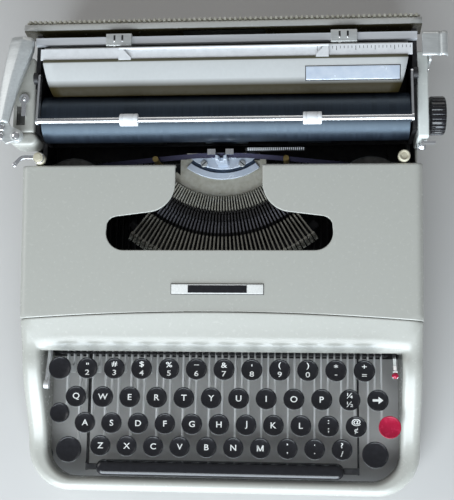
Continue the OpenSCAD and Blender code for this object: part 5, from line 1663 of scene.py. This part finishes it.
# %% Bed and bridge of the segment
BED_R = 55
BED_HALF_TURN = 33.6
BED_BACK = [(30.4, 71.4), (-30.4, 71.4)]
BED_LOW = 33.5
BED_HIGH = 34.7
BRIDGE_HALF = 26
BRIDGE_GAP = 9.4
BRIDGE_ROOT = 71.0
BRIDGE_FRONT = 73.6
BRIDGE_JOIN = 74.0
BRIDGE_REAR = 76


def fan_arc(radius, half, n=48):
    return arc(0, FAN_Y, radius, -90 - half, -90 + half, n)


bed_outline = [*fan_arc(BED_R, BED_HALF_TURN, 40), *BED_BACK]
bed = make_mesh("segment_bed", *prism(bed_outline, BED_LOW, BED_HIGH), sharp=40)
piece("segment_bed", bed, "frame", PALE_ZINC, "steel", "segment_plate")
bridge = [block((-BRIDGE_HALF, BRIDGE_FRONT, BED_LOW), (BRIDGE_HALF, BRIDGE_REAR, BED_HIGH))]
for left, right in ((-BRIDGE_HALF, -BRIDGE_GAP), (BRIDGE_GAP, BRIDGE_HALF)):
    bridge.append(block((left, BRIDGE_ROOT, BED_LOW), (right, BRIDGE_JOIN, BED_HIGH)))
piece("segment_bridge", make_mesh("segment_bridge", *joined(bridge)), "frame", PALE_ZINC, "steel")
print("segment bed", len(bed.polygons), "faces")

# %% Ring, groove and disc
RING_HALF_TURN = 36.5
DISC_HALF_TURN = 40.0
PLATE_LOW = 34.6
RING_RADII = (38.8, 43.4)
RING_HIGH = 36.2
GROOVE_RADII = (36.0, 38.9)
GROOVE_HIGH = 35.2
DISC_R = 36.2
DISC_HIGH = 36.0
PLATE_EDGE = 0.3


def ring_sector(inner, outer):
    return [*fan_arc(outer, RING_HALF_TURN), *fan_arc(inner, RING_HALF_TURN)[::-1]]


ring = make_mesh("segment_ring", *prism(ring_sector(*RING_RADII), PLATE_LOW, RING_HIGH), sharp=40)
soften(piece("segment_ring", ring, "frame", PLATE_PAINTED_REFLECTION, "chrome"), PLATE_EDGE)
# Painted shade: the groove's dark finish stands for the shade in it.
groove = make_mesh("segment_groove", *prism(ring_sector(*GROOVE_RADII), PLATE_LOW, GROOVE_HIGH), sharp=40)
piece("segment_groove", groove, "frame", GROOVE_PAINTED_SHADE, "dark_steel")
disc = make_mesh("segment_disc", *prism(fan_arc(DISC_R, DISC_HALF_TURN), PLATE_LOW, DISC_HIGH), sharp=40)
soften(piece("segment_disc", disc, "frame", PLATE_PAINTED_REFLECTION, "chrome"), PLATE_EDGE)
print("segment disc", len(disc.polygons), "faces")

# %% Screws and the type guide
SCREW_HEAD = [(0, 0.9), (2.1, 0.8), (2.5, 0.4), (2.5, -0.4), (0, -0.4)]
SCREW_SPOTS = [(-13.5, 68.0, 36.2), (13.5, 68.0, 36.2)]
SCREW_STEPS = 28
SLIT_TURNS = [(0, 0, 0.8), (0, 0, -0.7)]
SLIT_LOW = (-2.2, -0.3, 0.86)
SLIT_HIGH = (2.2, 0.3, 0.95)
GUIDE = [(-3.9, 34.7), (3.9, 34.7), (3.9, 54.0), (2.0, 54.0), (1.2, 51.5), (1.2, 47.0), (-1.2, 47.0),
         (-1.2, 51.5), (-2.0, 54.0), (-3.9, 54.0)]
GUIDE_FRONT = 66.4
GUIDE_REAR = 69.8
GUIDE_EDGE = 0.35
head = make_mesh("screw", *turned(SCREW_HEAD, SCREW_STEPS), sharp=45)
piece("plate_screws", repeated("plate_screws", head, SCREW_SPOTS, SATIN), "frame", None, "steel")
# Painted shade: thin dark blocks on the heads stand for the shade in their slots.
slit = make_mesh("slit", *block(SLIT_LOW, SLIT_HIGH))
slits = repeated("screw_slits", slit, SCREW_SPOTS, DARK_STEEL, SLIT_TURNS)
piece("screw_slits", slits, "frame", None, "dark_steel")
guide = make_mesh("type_post", *prism(GUIDE, GUIDE_FRONT, GUIDE_REAR, "y"))
soften(piece("type_post", guide, "frame", PLATE_PAINTED_REFLECTION, "chrome"), GUIDE_EDGE)
print("plate screws", len(SCREW_SPOTS))

# %% [markdown]
# ## Ribbon
# The inked ribbon runs from the left spool behind two brass guides, across the vibrator and on to the right
# spool. It is cloth under light tension. A cloth simulation would only find the straight runs again, so it is
# a thin sheet along the path of the CAD solid, with the width of the tape and the length of the path.

# %% Ribbon tape
TAPE_LOW = 40.5
TAPE_WIDE = 13.0
TAPE_PATH = np.array([(-100.5, 62.6), (-45.0, 68.6), (-15.0, 71.1), (15.0, 71.1), (45.0, 68.6),
                      (100.5, 62.6)])
TAPE_STEPS = 80
TAPE_ROWS = 6
RIPPLE = 0.08
RIPPLE_TURNS = 9
up_tape = np.linspace(0, 1, TAPE_ROWS + 1)
run = resampled(TAPE_PATH, np.linspace(0, 1, TAPE_STEPS + 1))
tape = np.array([[(x, y + RIPPLE * math.sin(RIPPLE_TURNS * s), TAPE_LOW + TAPE_WIDE * s) for s in up_tape]
                 for x, y in run])
ribbon_mesh = make_mesh("ribbon_cloth", *grid(tape), sharp=60)
ribbon_cloth = piece("ribbon_cloth", ribbon_mesh, "frame", INK_TAPE, "ink_ribbon", "ribbon_tape")

# %% [markdown]
# ## Spools
# A spool is two steel flanges on a hub, with rings pressed into the upper one. The parts could be separate
# cylinders, but a spool is round all over, so one profile turned about its axis makes all of them together.

# %% Spools
SPOOL_X = 102.5
SPOOL_Y = 44.0
SPOOL_STEPS = 72
FLANGE = [(3.2, 54.8), (7.4, 54.8), (7.8, 54.4), (11.6, 54.4), (12.0, 54.8), (12.8, 54.8), (13.2, 54.4),
          (16.6, 54.4), (17.0, 54.8), (17.8, 54.8), (18.2, 54.4), (22.8, 54.4), (23.4, 54.8), (23.9, 54.6),
          (24.0, 53.9), (18.0, 53.8), (18.0, 40.2), (24.0, 40.2), (24.0, 39.2), (3.2, 39.2)]
for side, name in zip(SIDES, ("ribbon_spool_left", "ribbon_spool_right")):
    spool = make_mesh(name, *turned(FLANGE, SPOOL_STEPS, "z", (side * SPOOL_X, SPOOL_Y, 0)), sharp=35)
    piece(name + "_flanges", spool, name, SPOOL_STEEL, "dark_steel", name)
    print(name, len(spool.polygons), "faces")

# %% [markdown]
# ## Small parts around the hood
# Two cream posts with a ringed top locate the hood, and a bent chrome lever on the left one locks the
# carriage for travel. Posts are turned. The lever is a strap of even width, so only its middle line is
# drawn, and the sides are set off from it with mitred bends. The ribbon selector at the right of the keys
# ends in a red tip.

# %% Posts
POST_X = 123.4
POST_Y = 64.6
POST_CAP = [(0, 69.2), (2.3, 69.2), (2.6, 69.8), (3.3, 70.0), (3.8, 69.7), (4.0, 69.0), (4.0, 65.4),
            (3.5, 64.8), (0, 64.8)]
POST_STEM = [(2.6, 65.0), (2.6, 27.0), (3.6, 26.6), (3.6, 24.0)]
LOCK_CAP = [(0, 73.0), (2.2, 73.0), (2.5, 72.5), (3.1, 72.6), (3.4, 72.2), (3.4, 71.4), (1.4, 71.3),
            (1.4, 69.6)]
POST_STEPS = 36
STEM_STEPS = 24
left_post = (-POST_X, POST_Y, 0)
posts = (left_post, (POST_X, POST_Y, 0))
caps = [turned(POST_CAP, POST_STEPS, "z", at) for at in posts]
caps.append(turned(LOCK_CAP, POST_STEPS, "z", left_post))
caps_mesh = make_mesh("post_caps", *joined(caps), sharp=45)
piece("post_caps", caps_mesh, "frame", CREAM, "cream_plastic", "cover_posts")
stems = joined([turned(POST_STEM, STEM_STEPS, "z", at) for at in posts])
piece("post_stems", make_mesh("post_stems", *stems), "frame", DARK_STEEL, "dark_steel")
print("posts", len(posts))

# %% Lock lever and selector tip
LOCK_LINE = np.array([(-123.4, 64.9), (-132.5, 65.3), (-134.6, 65.0), (-136.6, 63.6), (-140.0, 60.0)])
LOCK_HALF = 1.4
LOCK_LOW = 70.05
LOCK_HIGH = 71.15
LOCK_EDGE = 0.25
BEND_STEPS = 10
LOCK_RING = [(1.6, 70.1), (3.8, 70.1), (3.8, 71.1), (1.6, 71.1)]
BEAD = [(0, 0.9), (1.2, 0.7), (1.9, 0.0), (1.2, -0.7), (0, -0.9)]
BEAD_Z = 70.6
BEAD_STEPS = 20
SELECTOR_TIP = [(0, 2.3), (1.2, 2.0), (2.0, 1.1), (2.2, 0.0), (2.2, -2.0), (0, -2.0)]
TIP_AT = (117.5, -79.6, 47.6)
TIP_STEPS = 24


def strap(path, half):
    along = np.diff(path, axis=0) / path_length(path)[:, None]
    across = np.stack([-along[:, 1], along[:, 0]], 1)
    mitres = [(a + b) / (1 + a @ b) for a, b in zip(across, across[1:])]
    offset = half * np.array([across[0], *mitres])
    heading = math.degrees(math.atan2(along[-1][1], along[-1][0]))
    tip = arc(*path[-1], half, heading + 90, heading - 90, BEND_STEPS)
    return [*(path[:-1] + offset), *tip, *(path[:-1] - offset)[::-1]]


lock_strap = prism(strap(LOCK_LINE, LOCK_HALF), LOCK_LOW, LOCK_HIGH)
lock_ring = turned(LOCK_RING, POST_STEPS, "z", left_post)
bead = turned(BEAD, BEAD_STEPS, "z", (*LOCK_LINE[-1], BEAD_Z))
lock = make_mesh("lock_lever", *joined([lock_strap, lock_ring, bead]), sharp=40)
soften(piece("lock_lever", lock, "carriage_lock", CHROME, "chrome", "carriage_lock"), LOCK_EDGE)
tip = make_mesh("selector_tip", *turned(SELECTOR_TIP, TIP_STEPS, "z", TIP_AT), sharp=50)
piece("selector_tip", tip, "ribbon_selector", RED_PLASTIC, "red_plastic")
print("lock lever", len(lock.polygons), "faces")

# %% [markdown]
# ## Line strip
# A pale strip in front of the platen shows the line being typed, and its edge is toothed. The teeth stand at
# even steps, so one small block is repeated instead of cutting a notch for each gap.

# %% Line strip
TOOTH_FIRST = 19.0
TOOTH_PITCH = 1.35
TOOTH_Y = 73.4
TOOTH_Z = 56.55
TEETH = 29
TOOTH_LOW = (-0.3, -0.72, -2.4)
TOOTH_HIGH = (0.3, 0.72, 0.1)
tooth = make_mesh("tooth", *block(TOOTH_LOW, TOOTH_HIGH))
teeth = [(TOOTH_FIRST + TOOTH_PITCH * k, TOOTH_Y, TOOTH_Z) for k in range(TEETH)]
piece("line_teeth", repeated("line_teeth", tooth, teeth, SCALE_WHITE), "frame", None, "aluminium_white")
print("line teeth", len(teeth))

# %% [markdown]
# ## Plates
# The hood carries a small plate with a dark field, and the paper table a long bright one. A flat box would
# stand off the sheet at one end, so each plate is a grid that takes its height from the surface below it. Its
# frame is a second, slightly larger plate that lies a little lower.

# %% Plates
PLATE_STEPS = 8
PLATE_ROUND = 0.12


def table_top(y):
    return float(np.interp(y, bow[:, 0], bow[:, 1])) + TABLE_T / 2


def plate(name, body, surface, slot, low, high, height, lift, thick):
    (left, front), (right, rear) = low, high
    skin = np.array([[(x, y, height(y) + lift) for x in line(left, right, PLATE_STEPS)]
                     for y in line(front, rear, PLATE_STEPS)])
    made = piece(name, make_mesh(name, *grid(skin), sharp=50), body, surface, slot)
    faces_down = made.data.polygons[0].normal.z < 0
    soften(wall(made, thick, OUTWARDS if faces_down else INWARDS), PLATE_ROUND)


# Each plate is its name, finish, slot, front left corner, rear right corner, lift and thickness.
ON_HOOD = (("badge_frame", DARK_STEEL, "dark_steel", (-31.7, -27.7), (30.7, -20.5), 0.35, 0.5),
           ("badge_face", LEGEND, "cream_plastic", (-31.3, -27.3), (30.3, -20.9), 0.75, 0.6),
           ("badge_field", BLACK_PLASTIC, "black_plastic", (-20.2, -26.6), (19.4, -21.6), 0.95, 0.4))
ON_TABLE = (("table_plate_frame", DARK_STEEL, "dark_steel", (58.0, 113.3), (120.6, 122.8), 0.25, 0.4),
            ("table_plate", PLATE_PAINTED_REFLECTION, "chrome", (58.5, 113.8), (120.1, 122.3), 0.5, 0.4))
for body, height, plates in (("cover", cover_z, ON_HOOD), ("carriage", table_top, ON_TABLE)):
    for name, surface, slot, low, high, lift, thick in plates:
        plate(name, body, surface, slot, low, high, height, lift, thick)
    print("plates on", body, len(plates))

# %% [markdown]
# ## Finishes for the solids that stay
# Many small solids already have their real shape: rails, shafts, the base, the frame, the type segment and
# the racks. Drawing them again would add nothing, so they keep their meshes and get a finish from above.

# %% Finishes of the carried-over solids
KEEP = {
    DARK_STEEL: "base_plate main_frame key_guide_comb typebar_rest ribbon_cups carriage_frame line_guide",
    STEEL: "base_screws key_fulcrum_shaft tab_set_lever",
    CROSS_STEEL: "carriage_rack margin_rail platen_shaft",
    PALE_ZINC: "type_segment tab_rack",
    CHROME: "carriage_rails bell ribbon_vibrator line_space_selector paper_bail carriage_release_lever "
            "ribbon_selector",
    SCALE_WHITE: "paper_scale paper_support",
    BRASS: "ribbon_guides escapement_wheel",
    RUBBER: "rubber_feet platen_roller feed_roller",
}
for surface, names in KEEP.items():
    for name in names.split():
        for place in nodes[name].material_slots:
            place.material = surface
print("solids still shown", len([n for n in nodes if not nodes[n].hide_render]))
